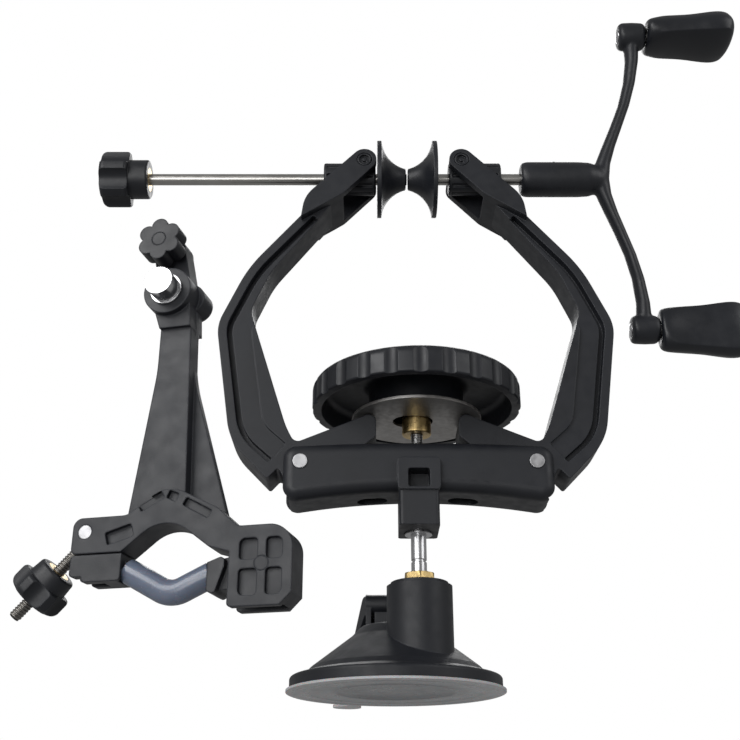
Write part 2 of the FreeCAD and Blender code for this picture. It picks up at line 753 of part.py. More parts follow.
def crossbeam():
    """U channel open at the top and ends, with the swivel sleeve hanging from its middle."""
    part = body("crossbeam")
    beam_belly = value("beam_end_drop - beam_arch_rise")
    place(part, "post_side", "-post_front", "pin_rise")
    channel = [("-beam_half", "-beam_end_drop", "beam_edge"),
               ("0", "beam_arch_rise - beam_end_drop", "beam_arch_radius"),
               ("beam_half", "-beam_end_drop", "beam_edge"), ("beam_half", "beam_top", "beam_edge"),
               ("0", "beam_top + beam_crown", "beam_crown_radius"), ("-beam_half", "beam_top", "beam_edge")]
    pad(part, "XZ_Plane", [channel], "beam_depth")
    soften(part, "beam_round", lambda edge: abs(edge.CenterOfMass.y) > 1 and edge.CenterOfMass.z < -beam_belly)
    floor = "beam_floor - beam_end_drop"
    ramp = f"{floor} + beam_arch_rise * beam_ramp / beam_half"
    hollow = [("-beam_half - 1", "-beam_end_drop - 0.5"), ("beam_ramp - beam_half", ramp),
              ("0", f"beam_arch_rise + {floor}", "beam_arch_radius"), ("beam_half - beam_ramp", ramp),
              ("beam_half + 1", "-beam_end_drop - 0.5"), ("beam_half + 1", "beam_top * 2"),
              ("-beam_half - 1", "beam_top * 2")]
    pocket(part, "XZ_Plane", [hollow], "beam_depth - beam_wall * 2")
    middle = "(sleeve_back - sleeve_front) / 2"
    across = box("-sleeve_half", "sleeve_half", "-sleeve_front", "sleeve_back", "sleeve_round")
    pad(part, "XY_Plane", [across], "sleeve_drop + block_top", "(block_top - sleeve_drop) / 2")
    frame = box("-frame_half", "frame_half", "-frame_bottom", "frame_top", "1.5")
    pad(part, "XZ_Plane", [frame], "frame_depth", "sleeve_front - frame_depth / 2 + frame_proud")
    bore = [("0", "0", "spigot_radius + shaft_play")]
    pocket(part, "XY_Plane", bore, "sleeve_drop * 2", "soft_gap - spigot_top_drop - sleeve_drop")
    window = box("-window_half", "window_half", "-window_bottom", "-window_top", "1")
    pocket(part, "XZ_Plane", [window], "sleeve_front", "sleeve_front + frame_proud - 1")
    pocket(part, "XY_Plane", [("0", "0", "stud_radius + seat_play")], "stud_foot * 2", "block_top")
    pins = [("-pin_side", "0", "pin_radius + seat_play"), ("pin_side", "0", "pin_radius + seat_play")]
    pocket(part, "XZ_Plane", pins, "beam_depth * 2")
    rounding = "beam_hole_width / 2 - 0.1"
    half = "beam_hole_length / 2"
    near = "beam_hole_back - beam_hole_width / 2"
    back = "beam_hole_back + beam_hole_width / 2"
    holes = [box(f"{side}beam_hole_side - {half}", f"{side}beam_hole_side + {half}", near, back, rounding)
             for side in ("-", "")]
    pocket(part, "XY_Plane", holes, "beam_end_drop", "-beam_end_drop")


def pivot_pins():
    """The two headed pins the arms swing on."""
    pins = [rod(name, "pin_radius", "-post_front - beam_depth / 2 - pin_stand", "beam_depth + pin_stand * 2",
                f"post_side {sign} pin_side", "pin_rise") for name, sign in (("left_pin", "-"), ("right_pin", "+"))]
    grouped("pivot_pins", pins)


def threaded_stud():
    part = body("threaded_stud")
    place(part, "post_side", "-post_front", "pin_rise")
    turn(part, [("0", "block_top - stud_foot"), ("stud_radius", "block_top - stud_foot"),
                ("stud_radius", "stud_top", "0.6"), ("0", "stud_top")])


def pressure_disc():
    """Slotted steel disc that presses on the two arm fingers."""
    part = body("pressure_disc")
    place(part, "post_side", "-post_front", "pin_rise + disc_rise")
    pad(part, "XY_Plane", [("0", "0", "disc_radius")], "disc_thick", "disc_thick / 2")
    slot = box("-disc_slot_radius - disc_slot_run", "disc_slot_radius", "-disc_slot_radius", "disc_slot_radius",
               "disc_slot_radius - 0.1")
    pocket(part, "XY_Plane", [slot], "disc_thick * 3")


def handwheel():
    """Dished knob with scalloped rim, seated on the disc by its hollow hub."""
    part = body("handwheel")
    place(part, "post_side", "-post_front", "pin_rise + disc_rise")
    crown = "wheel_crown"
    inside = "wheel_crown - wheel_skin"
    turn(part, [("wheel_seat_radius", "disc_thick + shaft_play"), ("wheel_hub_radius", "disc_thick + shaft_play"),
                ("wheel_hub_radius - 1.2", "disc_thick + 2.2", "4"), ("wheel_hub_radius - 0.4", f"{inside} - 2", "3"),
                ("wheel_radius - wheel_wall - 1", "wheel_rim_top", "3"),
                ("wheel_radius - wheel_wall", "wheel_rim_bottom"), ("wheel_radius", "wheel_rim_bottom", "0.8"),
                ("wheel_radius", "wheel_rim_top + 1.6", "4"), ("wheel_hub_radius", crown, "14"), ("0", crown),
                ("0", "insert_top"), ("insert_radius - 1", "insert_top"), ("insert_radius + 2.5", "insert_top", "2"),
                ("wheel_seat_radius", "insert_top - 6", "3")])
    bore = [("0", "0", "insert_body_radius + seat_play")]
    pocket(part, "XY_Plane", bore, "insert_top * 2", "0")
    pocket(part, "XY_Plane", [("0", "0", "stud_radius + soft_gap")], "wheel_crown * 3")
    scallop = pocket(part, "XY_Plane", [("wheel_radius + scallop_radius - scallop_depth", "0", "scallop_radius")],
                     "wheel_crown * 2", "wheel_crown")
    around(part, scallop, "Z_Axis", "scallops")


def wheel_insert():
    """Knurled brass nut moulded into the wheel; its flange hangs below the disc."""
    part = body("wheel_insert")
    place(part, "post_side", "-post_front", "pin_rise + disc_rise")
    bore = "stud_radius + shaft_play"
    turn(part, [(bore, "-insert_drop"), ("insert_radius", "-insert_drop", "0.5"), ("insert_radius", "disc_thick"),
                ("insert_body_radius", "disc_thick"), ("insert_body_radius", "insert_top"), (bore, "insert_top")])


# ---- arms ----

def shifted(chain, distance):
    """An open run of corners moved to its right by a distance, mitred at each corner."""
    spots = [Vector(value(corner[0]), value(corner[1]), 0) for corner in chain]
    moved = []
    for i, corner in enumerate(chain):
        ways = [(spots[j + 1] - spots[j]).normalize() for j in (i - 1, i) if 0 <= j < len(chain) - 1]
        normals = [Vector(way.y, -way.x, 0) for way in ways]
        mitre = normals[0] if len(normals) == 1 else (normals[0] + normals[1]) / (1 + normals[0].dot(normals[1]))
        spot = (f"{corner[0]} + ({distance}) * {mitre.x:.5f}", f"{corner[1]} + ({distance}) * {mitre.y:.5f}")
        turns_right = len(ways) > 1 and ways[0].cross(ways[1]).z < 0
        radius = (f"{corner[2]} {'-' if turns_right else '+'} ({distance})",) if len(corner) > 2 else ()
        moved.append(spot + radius)
    return moved


def band(chain, near, far, end):
    """A closed band between two offsets of a run, its four end corners rounded."""
    one = shifted(chain, near)
    other = shifted(chain, far)[::-1]
    for side in (one, other):
        side[0] = side[0][:2] + (end,)
        side[-1] = side[-1][:2] + (end,)
    return one + other


def arm(label, screw_label, sign, side):
    """A cranked lever: finger under the disc, grooved web, forked head for the holder."""
    part = body(label)
    place(part, f"post_side {side} pin_side", "-post_front", "pin_rise")

    def out(corners):
        return [(f"{sign}({corner[0]})",) + corner[1:] for corner in corners]

    spine = [("neck_side", "neck_rise"), ("brow_side", "brow_rise", "60"), ("elbow_side", "elbow_rise", "18"),
             ("heel_side", "heel_rise", "25"), ("toe_side", "-toe_drop")]
    shape = spine[:-1] + [("toe_side", "-toe_drop", "1"), ("toe_side - 4.2", "-toe_drop / 4", "1"),
                          ("toe_side * 0.4", "-arm_eye_radius - 1", "2"),
                          ("-arm_eye_radius", "-arm_eye_radius", "5"),
                          ("-finger_side", "finger_rise - finger_radius * 2"), ("-finger_side", "finger_rise"),
                          ("finger_radius - finger_side", "finger_rise + finger_radius"),
                          ("2.6", "8.5", "3"), ("crook_low_side", "crook_low_rise", "40"),
                          ("crook_side", "crook_rise", "10"), ("crook_high_side", "crook_high_rise", "40"),
                          ("-crotch_side", "crotch_rise")]
    pad(part, "XZ_Plane", [out(shape)], "arm_depth")
    tip = ("finger_radius - finger_side", "finger_rise", "finger_radius")
    pad(part, "XZ_Plane", out([tip]), "arm_depth")
    across = "ear_radius * sin(ear_lean)"
    along = "ear_radius * cos(ear_lean)"
    ear = [("neck_side", "neck_rise - 3"), ("ear_bend_side", "ear_bend_rise", "ear_bend_radius"),
           (f"{across} - fork_side", f"fork_rise + {along}"), (f"-fork_side - {across}", f"fork_rise - {along}"),
           ("-ear_inner_side", "ear_inner_rise", "ear_inner_radius"), ("-crotch_side", "crotch_rise")]
    knob = ("-fork_side", "fork_rise", "ear_radius")
    pad(part, "XZ_Plane", [out(ear)], "fork_gap + ear_thick * 2")
    pad(part, "XZ_Plane", out([knob]), "fork_gap + ear_thick * 2")
    sill = "crotch_rise + fork_floor"
    gap = [("-fork_side * 2", sill), ("-fork_lip_side", sill, "fork_lip_radius"), ("8", "neck_rise + 10"),
           ("8", "fork_rise + 12"), ("-fork_side * 2", "fork_rise + 12")]
    pocket(part, "XZ_Plane", [out(gap)], "fork_gap")
    run = [("neck_side - 2.2", "neck_rise + 2")] + spine[1:-1] + [("toe_side + 2", "4 - toe_drop")]
    groove = band(run, "arm_flange", "arm_flange + arm_groove", "arm_groove / 2 - 0.2")
    panel = band(run, "arm_flange + arm_groove", "arm_flange + arm_groove + arm_panel", "1")
    for face in ("", "-"):
        pocket(part, "XZ_Plane", [out(groove)], "arm_groove_depth", f"{face}(arm_depth - arm_groove_depth) / 2")
        pocket(part, "XZ_Plane", [out(panel)], "arm_panel_depth", f"{face}(arm_depth - arm_panel_depth) / 2")
        pocket(part, "XZ_Plane", out([("-fork_side", "fork_rise", "screw_head_radius + soft_gap")]), "screw_head",
               f"{face}(fork_gap / 2 + ear_thick - screw_head / 2)")
    pocket(part, "XZ_Plane", out([("0", "0", "pin_radius + shaft_play")]), "arm_depth * 2")
    pocket(part, "XZ_Plane", out([("-fork_side", "fork_rise", "screw_radius + seat_play")]), "arm_depth * 3")
    pivot_screws(screw_label, sign, side)


def pivot_screws(label, sign, side):
    """The pair of headed screws a holder tips on, one through each ear."""
    across = f"post_side {side} pin_side {'+' if side == '-' else '-'} fork_side"
    rise = "pin_rise + fork_rise"
    outer = "(fork_gap / 2 + ear_thick)"
    shank = "ear_thick - screw_head + screw_reach"
    pieces = []
    for end, face in (("front", "-"), ("back", "")):
        inner = f"-post_front {face or '+'} ({outer} - screw_head)"
        shank_start = f"{inner} {'- (' + shank + ')' if not face else ''}"
        head_start = f"{inner} {'- screw_head' if face else ''}"
        head = rod(f"{label}_{end}_head", "screw_head_radius", head_start, "screw_head", across, rise)
        stem = rod(f"{label}_{end}_shank", "screw_radius", shank_start, shank, across, rise)
        pieces.append(joined(f"{label}_{end}", [head, stem]))
    grouped(label, pieces)


# ---- spindle holders ----

def holder(label, bush_label, sign, side):
    """Ribbed barrel on the spindle line with the cross tube it tips on above."""
    part = body(label)
    place(part, f"post_side {side} pin_side", "-post_front", "pin_rise + axis_rise")
    inner = f"{sign}(-fork_side - holder_inner)"
    outer = f"{sign}(holder_outer - fork_side)"
    barrel = [(inner, "spindle_radius"), (inner, "holder_radius", "0.8"), (outer, "holder_radius", "0.8"),
              (outer, "spindle_radius")]
    turn(part, barrel, "H_Axis")
    flute = pocket(part, "YZ_Plane", [("0", "holder_radius", "holder_flute_radius")], "holder_inner + holder_outer - holder_rib * 2",
                   f"{sign}(holder_outer / 2 - holder_inner / 2 - fork_side)")
    around(part, flute, "X_Axis", "holder_flutes")
    lift = "(fork_rise - axis_rise)"
    pivot = f"{sign}(-fork_side)"
    pad(part, "XZ_Plane", [(pivot, lift, "lug_tube_radius")], "lug_tube")
    pocket(part, "YZ_Plane", [("0", "0", "holder_bush_radius + seat_play")], "holder_outer * 6", pivot)
    pocket(part, "XZ_Plane", [(pivot, lift, "screw_radius + shaft_play")], "lug_tube * 2")
    bush = body(bush_label)
    place(bush, f"post_side {side} pin_side", "-post_front", "pin_rise + axis_rise")
    bore = "spindle_radius + shaft_play"
    turn(bush, [(inner, bore), (inner, "holder_bush_radius"), (outer, "holder_bush_radius"), (outer, bore)], "H_Axis")


# ---- spindles ----

def on_axis(part):
    return place(part, "post_side", "-post_front", "pin_rise + axis_rise")


def on_crank(part):
    return place(part, "post_side", "-post_front", "pin_rise + axis_rise", turn_x="crank_turn")


def left_spindle():
    """Plain rod with its cone, nip tip and lobed knob."""
    nip = "(-nip_side - nip_gap)"
    shaft = on_axis(body("left_rod"))
    end = "-knob_start - knob_insert"
    turn(shaft, [(end, "0"), (end, "spindle_radius"), (f"{nip} - rod_nose", "spindle_radius"), (f"{nip} - rod_nose", "0")],
         "H_Axis")
    cone("left_cone", "-", nip)
    knob = on_axis(body("left_knob"))
    hub_end = "(-knob_start - knob_hub)"
    far = "(-knob_start - knob_hub - knob_lobe)"
    turn(knob, [("-knob_start", "0"), ("-knob_start", "knob_hub_radius", "0.8"), (hub_end, "knob_hub_radius"),
                (hub_end, "knob_radius", "1.2"), (far, "knob_radius", "2.5"), (far, "0")], "H_Axis")
    flute = pocket(knob, "YZ_Plane", [("0", "knob_radius * 1.25", "knob_radius * 0.48")], "knob_lobe", f"{hub_end} - knob_lobe / 2")
    around(knob, flute, "X_Axis", "knob_lobes")
    insert_bore = ("0", "0", "knob_insert_radius + seat_play")
    pocket(knob, "YZ_Plane", [insert_bore], "knob_insert", "-knob_start - knob_insert / 2")
    insert = on_axis(body("left_knob_insert"))
    bore = "spindle_radius + seat_play"
    inner_end = "(-knob_start - knob_insert)"
    turn(insert, [("-knob_start", bore), ("-knob_start", "knob_insert_radius"), (inner_end, "knob_insert_radius"),
                  (inner_end, bore)], "H_Axis")


def cone(label, sign, nose):
    """Centring cone: thin flange outside, concave flank to a small nose at the nip."""
    part = on_axis(body(label))
    bore = "spindle_radius + seat_play"
    flange = f"{nose} {sign} cone_length"
    edge = f"{flange} {'+' if sign == '-' else '-'} cone_edge"
    turn(part, [(nose, bore), (nose, "cone_nose_radius", "0.6"),
                (f"{nose} {sign} cone_length * 0.72", "cone_nose_radius * 1.5", "14"),
                (edge, "cone_radius"), (flange, "cone_radius"), (flange, bore)], "H_Axis")


def nip_tip():
    """Soft tip that fills the nip between the two noses."""
    part = on_axis(body("nip_tip"))
    start = "(-nip_side - nip_gap - rod_nose)"
    turn(part, [(start, "0"), (start, "spindle_radius"), ("-nip_side", "spindle_radius", "0.3"), ("-nip_side", "0")],
         "H_Axis")


def crank():
    nip = "(nip_gap - nip_side)"
    shaft = on_axis(body("crank_shaft"))
    end = "crank_start + crank_hub * 0.7"
    turn(shaft, [(f"{nip} + rod_nose", "0"), (f"{nip} + rod_nose", "spindle_radius"), (end, "spindle_radius"), (end, "0")],
         "H_Axis")
    cone("right_cone", "+", nip)
    handle = on_crank(body("crank_handle"))
    root = "(crank_start + crank_hub)"
    turn(handle, [("crank_start", "0"), ("crank_start", "crank_hub_radius - 1", "0.6"),
                  ("crank_start + 3", "crank_hub_radius", "3"), (f"{root} - 5", "crank_hub_radius", "3"),
                  (f"{root} + 4", "crank_hub_radius - 5", "2"), (f"{root} + 4", "0")], "H_Axis")
    for sign in ("", "-"):
        line = [("crank_root", "0"), ("crank_knee", f"{sign}crank_knee_rise", "40"),
                ("crank_end", f"{sign}crank_end_rise", "60"), ("crank_end", f"{sign}crank_arm")]
        pad(handle, "XZ_Plane", [band(line, "-crank_half", "crank_half", "0.4")], "crank_depth")
        eyelet = ("0", f"{sign}crank_arm", "eyelet_radius")
        pad(handle, "YZ_Plane", [eyelet], "eyelet", "eyelet_start + eyelet / 2")
        hole = ("0", f"{sign}crank_arm", "axle_radius + seat_play")
        pocket(handle, "YZ_Plane", [hole], "eyelet * 2", "eyelet_start + eyelet / 2")
    pocket(handle, "YZ_Plane", [("0", "0", "spindle_radius + seat_play")], "crank_hub * 1.4", "crank_start")
    screw_side = "crank_start + crank_hub * 0.45"
    pocket(handle, "XY_Plane", [(screw_side, "0", "set_screw_radius + seat_play")], "crank_hub_radius", "crank_hub_radius / 2 + spindle_radius")
    screw = on_crank(body("crank_set_screw"))
    pad(screw, "XY_Plane", [(screw_side, "0", "set_screw_radius")], "set_screw", "spindle_radius + seat_play + set_screw / 2")


def grips():
    """Two paddle grips, each turning on a riveted axle at the end of a crank arm."""
    axles = []
    for label, sign, back in (("upper", "+", "-"), ("lower", "-", "+")):
        rise = f"pin_rise + axis_rise {sign} crank_arm * cos(crank_turn)"
        side = f"-post_front {back} crank_arm * sin(crank_turn)"
        start = "post_side + eyelet_start - axle_head"
        length = "axle_head + eyelet + grip_play + grip_seat"
        shank = rod(f"{label}_axle_shank", "axle_radius", start, length, side, rise, "x")
        head = rod(f"{label}_axle_head", "axle_head_radius", start, "axle_head", side, rise, "x")
        axles.append(joined(f"{label}_axle", [shank, head]))
        neck = "post_side + eyelet_start + eyelet + grip_play"
        paddle = document.addObject("Part::Loft", f"{label}_paddle")
        paddle.Sections = [grip_section(label, f"{neck} + grip_length * {along}", side, rise, width, thick)
                           for along, width, thick in GRIP_SECTIONS]
        paddle.Solid = True
        seat = rod(f"{label}_seat", "axle_radius + shaft_play", f"{neck} - 1", "grip_seat + soft_gap + 1",
                   side, rise, "x")
        pierced(f"{label}_grip", paddle, seat)
    grouped("grip_axles", axles)


def grip_section(label, along, side, rise, width, thick):
    """One oval section of a grip, square to the axle, turned as the grip hangs."""
    oval = document.addObject("Part::Ellipse", f"{label}_oval")
    oval.setExpression("MajorRadius", bind(f"grip_half_width * {width}"))
    oval.setExpression("MinorRadius", bind(f"grip_half_thick * {thick}"))
    hang = Rotation(Vector(1, 0, 0), value(f"{label}_grip_turn"))
    oval.Placement.Rotation = hang * Rotation(Vector(0, 1, 0), 90)
    for name, text in (("x", along), ("y", side), ("z", rise)):
        oval.setExpression("Placement.Base." + name, bind(text))
    return oval


# ---- rod clamp ----

def on_clamp(part):
    return place(part, "-clamp_side", "-clamp_front", "0", "-clamp_turn")


def clamp_frame():
    """Upper jaw, pierced box and twisted column in one moulding, with the stub boss at the top."""
    part = on_clamp(body("clamp_frame"))
    lower = [("-jaw_end", "jaw_rise", "1.5"), ("-vee_side", "jaw_rise"), ("-vee_apex_side", "vee_apex_rise", "vee_round"),
             ("vee_right", "jaw_rise"), ("box_left", "jaw_rise - 1.7"), ("box_left", "0", "1"),
             ("box_right - 3", "0"), ("box_right", "3"), ("box_right", "box_rise", "6"),
             ("box_left + 2", "box_rise", "3"), ("vee_right + 2", "jaw_top + 0.4", "shoulder_round"),
             ("-vee_apex_side", "arch_top", "arch_round"), ("-shoulder_side", "jaw_top", "shoulder_round"),
             ("-jaw_end", "jaw_top", "2.5")]
    pad(part, "XZ_Plane", [lower], "clamp_depth")
    front = "((clamp_depth - column_plate) / 2 - column_set)"
    foot = "jaw_top - 2"
    left = [("-column_foot_left", foot), ("-rib_right", foot), ("-rib_right - rib_lean", "column_top"),
            ("-column_left", "column_top"), ("-column_left", "column_foot", "column_sweep")]
    right = [("-rib_left", foot), ("box_left - 2.4", foot), ("column_right", "column_foot", "column_sweep"),
             ("column_right", "column_top"), ("-rib_left - rib_lean", "column_top")]
    pad(part, "XZ_Plane", [left], "column_plate", front)
    pad(part, "XZ_Plane", [right], "column_plate", f"{front} - column_step")
    rib = [("-rib_left", foot), ("-rib_right", foot), ("-rib_right - rib_lean", "column_top"),
           ("-rib_left - rib_lean", "column_top")]
    pad(part, "XZ_Plane", [rib], "column_step + column_plate", f"{front} - column_step / 2")
    pad(part, "XZ_Plane", [("-head_side", "head_rise", "head_radius")], "head_depth")
    neck = [("-column_left", "column_top - 6"), ("column_right", "column_top - 6"), ("head_radius - head_side - 1", "head_rise"),
            ("-head_side - head_radius + 1", "head_rise")]
    pad(part, "XZ_Plane", [neck], "clamp_depth")
    tall = [("-head_side - head_radius + 2", "head_rise"), ("head_radius - head_side - 2", "head_rise"),
            ("lug_radius - lug_side", "lug_rise"), ("-lug_side - lug_radius", "lug_rise")]
    back = "lug_thick / 2 - head_depth / 2"
    pad(part, "XZ_Plane", [tall], "lug_thick", back)
    pad(part, "XZ_Plane", [("-lug_side", "lug_rise", "lug_radius")], "lug_thick", back)
    pad(part, "XZ_Plane", [("-lobe_side", "head_rise", "lobe_radius")], "head_depth / 2", "-head_depth / 4")
    pockets = []
    for across, up in (("-", "-"), ("-", "+"), ("+", "-"), ("+", "+")):
        near_u = f"knuckle_side {across} spoke_half"
        near_w = f"knuckle_rise {up} spoke_half"
        far_u = "box_left + box_wall" if across == "-" else "box_right - box_wall"
        far_w = "box_wall" if up == "-" else "box_rise - box_wall - 0.6"
        spots = [(near_u, near_w, "1"), (far_u, near_w, "1"), (far_u, far_w, "1.5"), (near_u, far_w, "1")]
        pockets.append(spots)
    left_slot = [("-shoulder_side - 5.3", "jaw_rise + 3.4"), ("1.7 - shoulder_side", "jaw_rise + 5.5")]
    rise = "(vee_apex_rise + 4.4)"
    arch_slots = [[("-vee_apex_side - 7.2", f"{rise} - 2.6"), ("-vee_apex_side - 1.1", f"{rise} + 0.7")],
                  [("0.3 - vee_apex_side", f"{rise} + 0.7"), ("2.9 - vee_apex_side", f"{rise} - 0.5")],
                  [("4.9 - vee_apex_side", f"{rise} - 1.5"), ("11.9 - vee_apex_side", f"{rise} - 5.4")]]
    windows = [band(left_slot, "-1.7", "1.7", "0.6")]
    windows += [band(run, "-slot_half", "slot_half", "0.4") for run in arch_slots]
    for face in ("", "-"):
        pocket(part, "XZ_Plane", pockets + windows, "box_pocket", f"{face}(clamp_depth - box_pocket) / 2")
    knuckle_gap = "knuckle_thick + soft_gap * 2"
    room = [("box_left - 1", "-1"), ("box_right - box_wall", "-1"), ("box_right - box_wall", "knuckle_rise + 4", "3"),
            ("knuckle_side + 3", "knuckle_rise + knuckle_radius + 1.5", "3"),
            ("box_left - 1", "knuckle_rise + knuckle_radius - 1")]
    pocket(part, "XZ_Plane", [room], knuckle_gap)
    pocket(part, "XZ_Plane", [("knuckle_side", "knuckle_rise", "jaw_pin_radius + seat_play")], "clamp_depth * 2")
    bolt_slot = [("-jaw_end - 1", "jaw_rise - 1"), ("bolt_eye_radius + 1 - bolt_pin_side", "jaw_rise - 1"),
                 ("bolt_eye_radius + 1 - bolt_pin_side", "jaw_top + 1"), ("-jaw_end - 1", "jaw_top + 1")]
    pocket(part, "XZ_Plane", [bolt_slot], "bolt_eye + soft_gap * 2")
    pocket(part, "XZ_Plane", [("-bolt_pin_side", "bolt_pin_rise", "bolt_pin_radius + seat_play")], "clamp_depth * 2")
    pocket(part, "XZ_Plane", [("-head_side", "head_rise", "stub_seat_radius + seat_play")], "head_depth", "head_depth / 2")
    pocket(part, "XZ_Plane", [("-lug_side", "lug_rise", "star_screw_radius + shaft_play")], "head_depth * 2")


def clamp_stub():
    """Steel stub on the boss: a thin seat inside, a collar ring, then the full diameter outside."""
    part = on_clamp(body("clamp_stub"))
    seat = "(head_depth / 2 + stub_ring)"
    pad(part, "XZ_Plane", [("-head_side", "head_rise", "stub_seat_radius")], seat, f"{seat} / 2")
    pad(part, "XZ_Plane", [("-head_side", "head_rise", "stub_radius")], "stub_reach - stub_ring",
        "head_depth / 2 + (stub_reach + stub_ring) / 2")
    collar = on_clamp(body("stub_ring"))
    rings = [("-head_side", "head_rise", radius) for radius in ("stub_ring_radius", "stub_seat_radius + seat_play")]
    pad(collar, "XZ_Plane", rings, "stub_ring", "head_depth / 2 + stub_ring / 2")


def star_knob():
    knob = on_clamp(body("star_knob"))
    front = "(lug_thick - head_depth / 2 + star_gap)"
    middle = f"({front} + star_thick / 2)"
    lobes = [(f"star_radius * 0.62 * sin({turn}) - lug_side", f"star_radius * 0.62 * cos({turn}) + lug_rise", "star_radius * 0.38")
             for turn in range(0, 360, 60)]
    pad(knob, "XZ_Plane", [("-lug_side", "lug_rise", "star_radius * 0.76")], "star_thick", middle)
    for lobe in lobes:
        pad(knob, "XZ_Plane", [lobe], "star_thick", middle)
    pocket(knob, "XZ_Plane", [("-lug_side", "lug_rise", "star_screw_radius + shaft_play")], "head_depth * 3")
    screw = on_clamp(body("star_screw"))
    reach = "(lug_thick + star_gap + star_thick)"
    pad(screw, "XZ_Plane", [("-lug_side", "lug_rise", "star_screw_radius")], reach, f"{front} + star_thick - {reach} / 2")


def clamp_jaw():
    """Swinging lower jaw: slotted end block, thin tongue inside the sleeve, knuckle in the box."""
    part = on_clamp(body("clamp_jaw"))
    block = [("-jaw_end", "lower_jaw_low", "1"), ("-jaw_end", "jaw_rise - soft_gap", "1"),
             ("-lower_jaw_right", "jaw_rise - soft_gap"), ("-lower_jaw_right", "lower_jaw_low - lower_jaw_tab", "1"),
             ("-bolt_pin_side", "lower_jaw_low - lower_jaw_tab", "1"), ("-bolt_pin_side", "lower_jaw_low")]
    pad(part, "XZ_Plane", [block], "lower_jaw_depth")
    collar = [("vee_right", "collar_low + 1"), ("collar_toe", "collar_low", "1"),
              ("box_left - collar_gap", "jaw_rise - 5"), ("box_left - collar_gap", "jaw_rise - 2.4", "1"),
              ("vee_right", "jaw_rise - 4")]
    pad(part, "XZ_Plane", [collar], "lower_jaw_depth")
    around_sleeve = band(sag("0"), "-sleeve_radius - seat_play", "sleeve_radius + seat_play", "0.4")
    pocket(part, "XZ_Plane", [around_sleeve], "(sleeve_radius + seat_play) * 2")
    pad(part, "XZ_Plane", [band(sag("2"), "-tongue_radius", "tongue_radius", "0.4")], "tongue_radius * 2")
    bridge = [("vee_right + 2.4", "knuckle_rise - 5.6"), ("knuckle_side", "-knuckle_radius + knuckle_rise"),
              ("knuckle_side", "knuckle_rise + 4"), ("vee_right + 2.4", "knuckle_rise + 2")]
    pad(part, "XZ_Plane", [bridge], "knuckle_thick")
    pad(part, "XZ_Plane", [("knuckle_side", "knuckle_rise", "knuckle_radius")], "knuckle_thick")
    pocket(part, "XZ_Plane", [("knuckle_side", "knuckle_rise", "jaw_pin_radius + shaft_play")], "clamp_depth")
    slot = box("-jaw_end - 1", "-lower_jaw_right - 5", "lower_jaw_low - 3", "jaw_rise")
    pocket(part, "XZ_Plane", [slot], "jaw_slot")


def sag(extra):
    """The middle line of the sleeve, hanging between the end block and the collar."""
    return [(f"-lower_jaw_right + 0.1 - {extra}", f"sag_left_rise + {extra} * sag_left_slope"),
            ("-sag_side", "sag_rise", "bend_radius"),
            (f"vee_right - 0.1 + {extra}", f"sag_right_rise + {extra} * sag_right_slope")]


def jaw_sleeve():
    """Soft tube on the jaw that grips a rod without marking it."""
    part = on_clamp(body("jaw_sleeve"))
    pad(part, "XZ_Plane", [band(sag("0"), "-sleeve_radius", "sleeve_radius", "0.4")], "sleeve_radius * 2")
    soften(part, "sleeve_radius * 0.7", lambda edge: abs(abs(edge.CenterOfMass.y) - value("sleeve_radius")) < 0.01)
    pocket(part, "XZ_Plane", [band(sag("2"), "-tongue_radius - seat_play", "tongue_radius + seat_play", "0.4")],
           "(tongue_radius + seat_play) * 2")


def clamp_pins():
    """The pins that the jaw and the bolt swing on."""
    for label, across, rise, radius in (("jaw_hinge_pin", "knuckle_side", "knuckle_rise", "jaw_pin_radius"),
                                        ("bolt_pin", "-bolt_pin_side", "bolt_pin_rise", "bolt_pin_radius")):
        part = on_clamp(body(label))
        pad(part, "XZ_Plane", [(across, rise, radius)], "clamp_depth")


def on_bolt(part):
    """Along the swing bolt: its pin at the origin, the bolt down the local -Z."""
    place(part, "-clamp_side - bolt_pin_side * cos(clamp_turn)", "-clamp_front + bolt_pin_side * sin(clamp_turn)",
          "bolt_pin_rise")
    lean = Rotation(Vector(0, 1, 0), value("bolt_lean"))
    part.Placement.Rotation = Rotation(Vector(0, 0, 1), value("-clamp_turn")) * lean
    return part


def swing_bolt():
    part = on_bolt(body("swing_bolt"))
    pad(part, "XZ_Plane", [("0", "0", "bolt_eye_radius")], "bolt_eye")
    turn(part, [("0", "-bolt_eye_radius / 2"), ("bolt_radius", "-bolt_eye_radius / 2"),
                ("bolt_radius", "-bolt_length", "0.6"), ("0", "-bolt_length")])
    pocket(part, "XZ_Plane", [("0", "0", "bolt_pin_radius + shaft_play")], "bolt_eye * 2")


def bolt_knob():
    """Lobed knob with its brass nut, run on the swing bolt to close the jaw."""
    knob = on_bolt(body("bolt_knob"))
    face = "-nut_start"
    root = "(-nut_start - nut_hub)"
    far = "(-nut_start - nut_hub - nut_lobe)"
    seat = "nut_insert_radius + seat_play"
    turn(knob, [(seat, face), ("nut_hub_radius", face, "0.8"), ("nut_hub_radius + 0.4", root), ("nut_radius", root, "1"),
                ("nut_radius", far, "2"), ("bolt_radius + soft_gap", far), ("bolt_radius + soft_gap", f"{far} + 1"),
                (seat, f"{far} + 1")])
    flute = pocket(knob, "XY_Plane", [("nut_radius * 1.25", "0", "nut_radius * 0.48")], "nut_lobe", f"{root} - nut_lobe / 2")
    around(knob, flute, "Z_Axis", "nut_lobes")
    nut = on_bolt(body("knob_nut"))
    bore = "bolt_radius + shaft_play"
    turn(nut, [(bore, face), ("nut_insert_radius", face), ("nut_insert_radius", f"{far} + 1"), (bore, f"{far} + 1")])


# ---- the whole ----

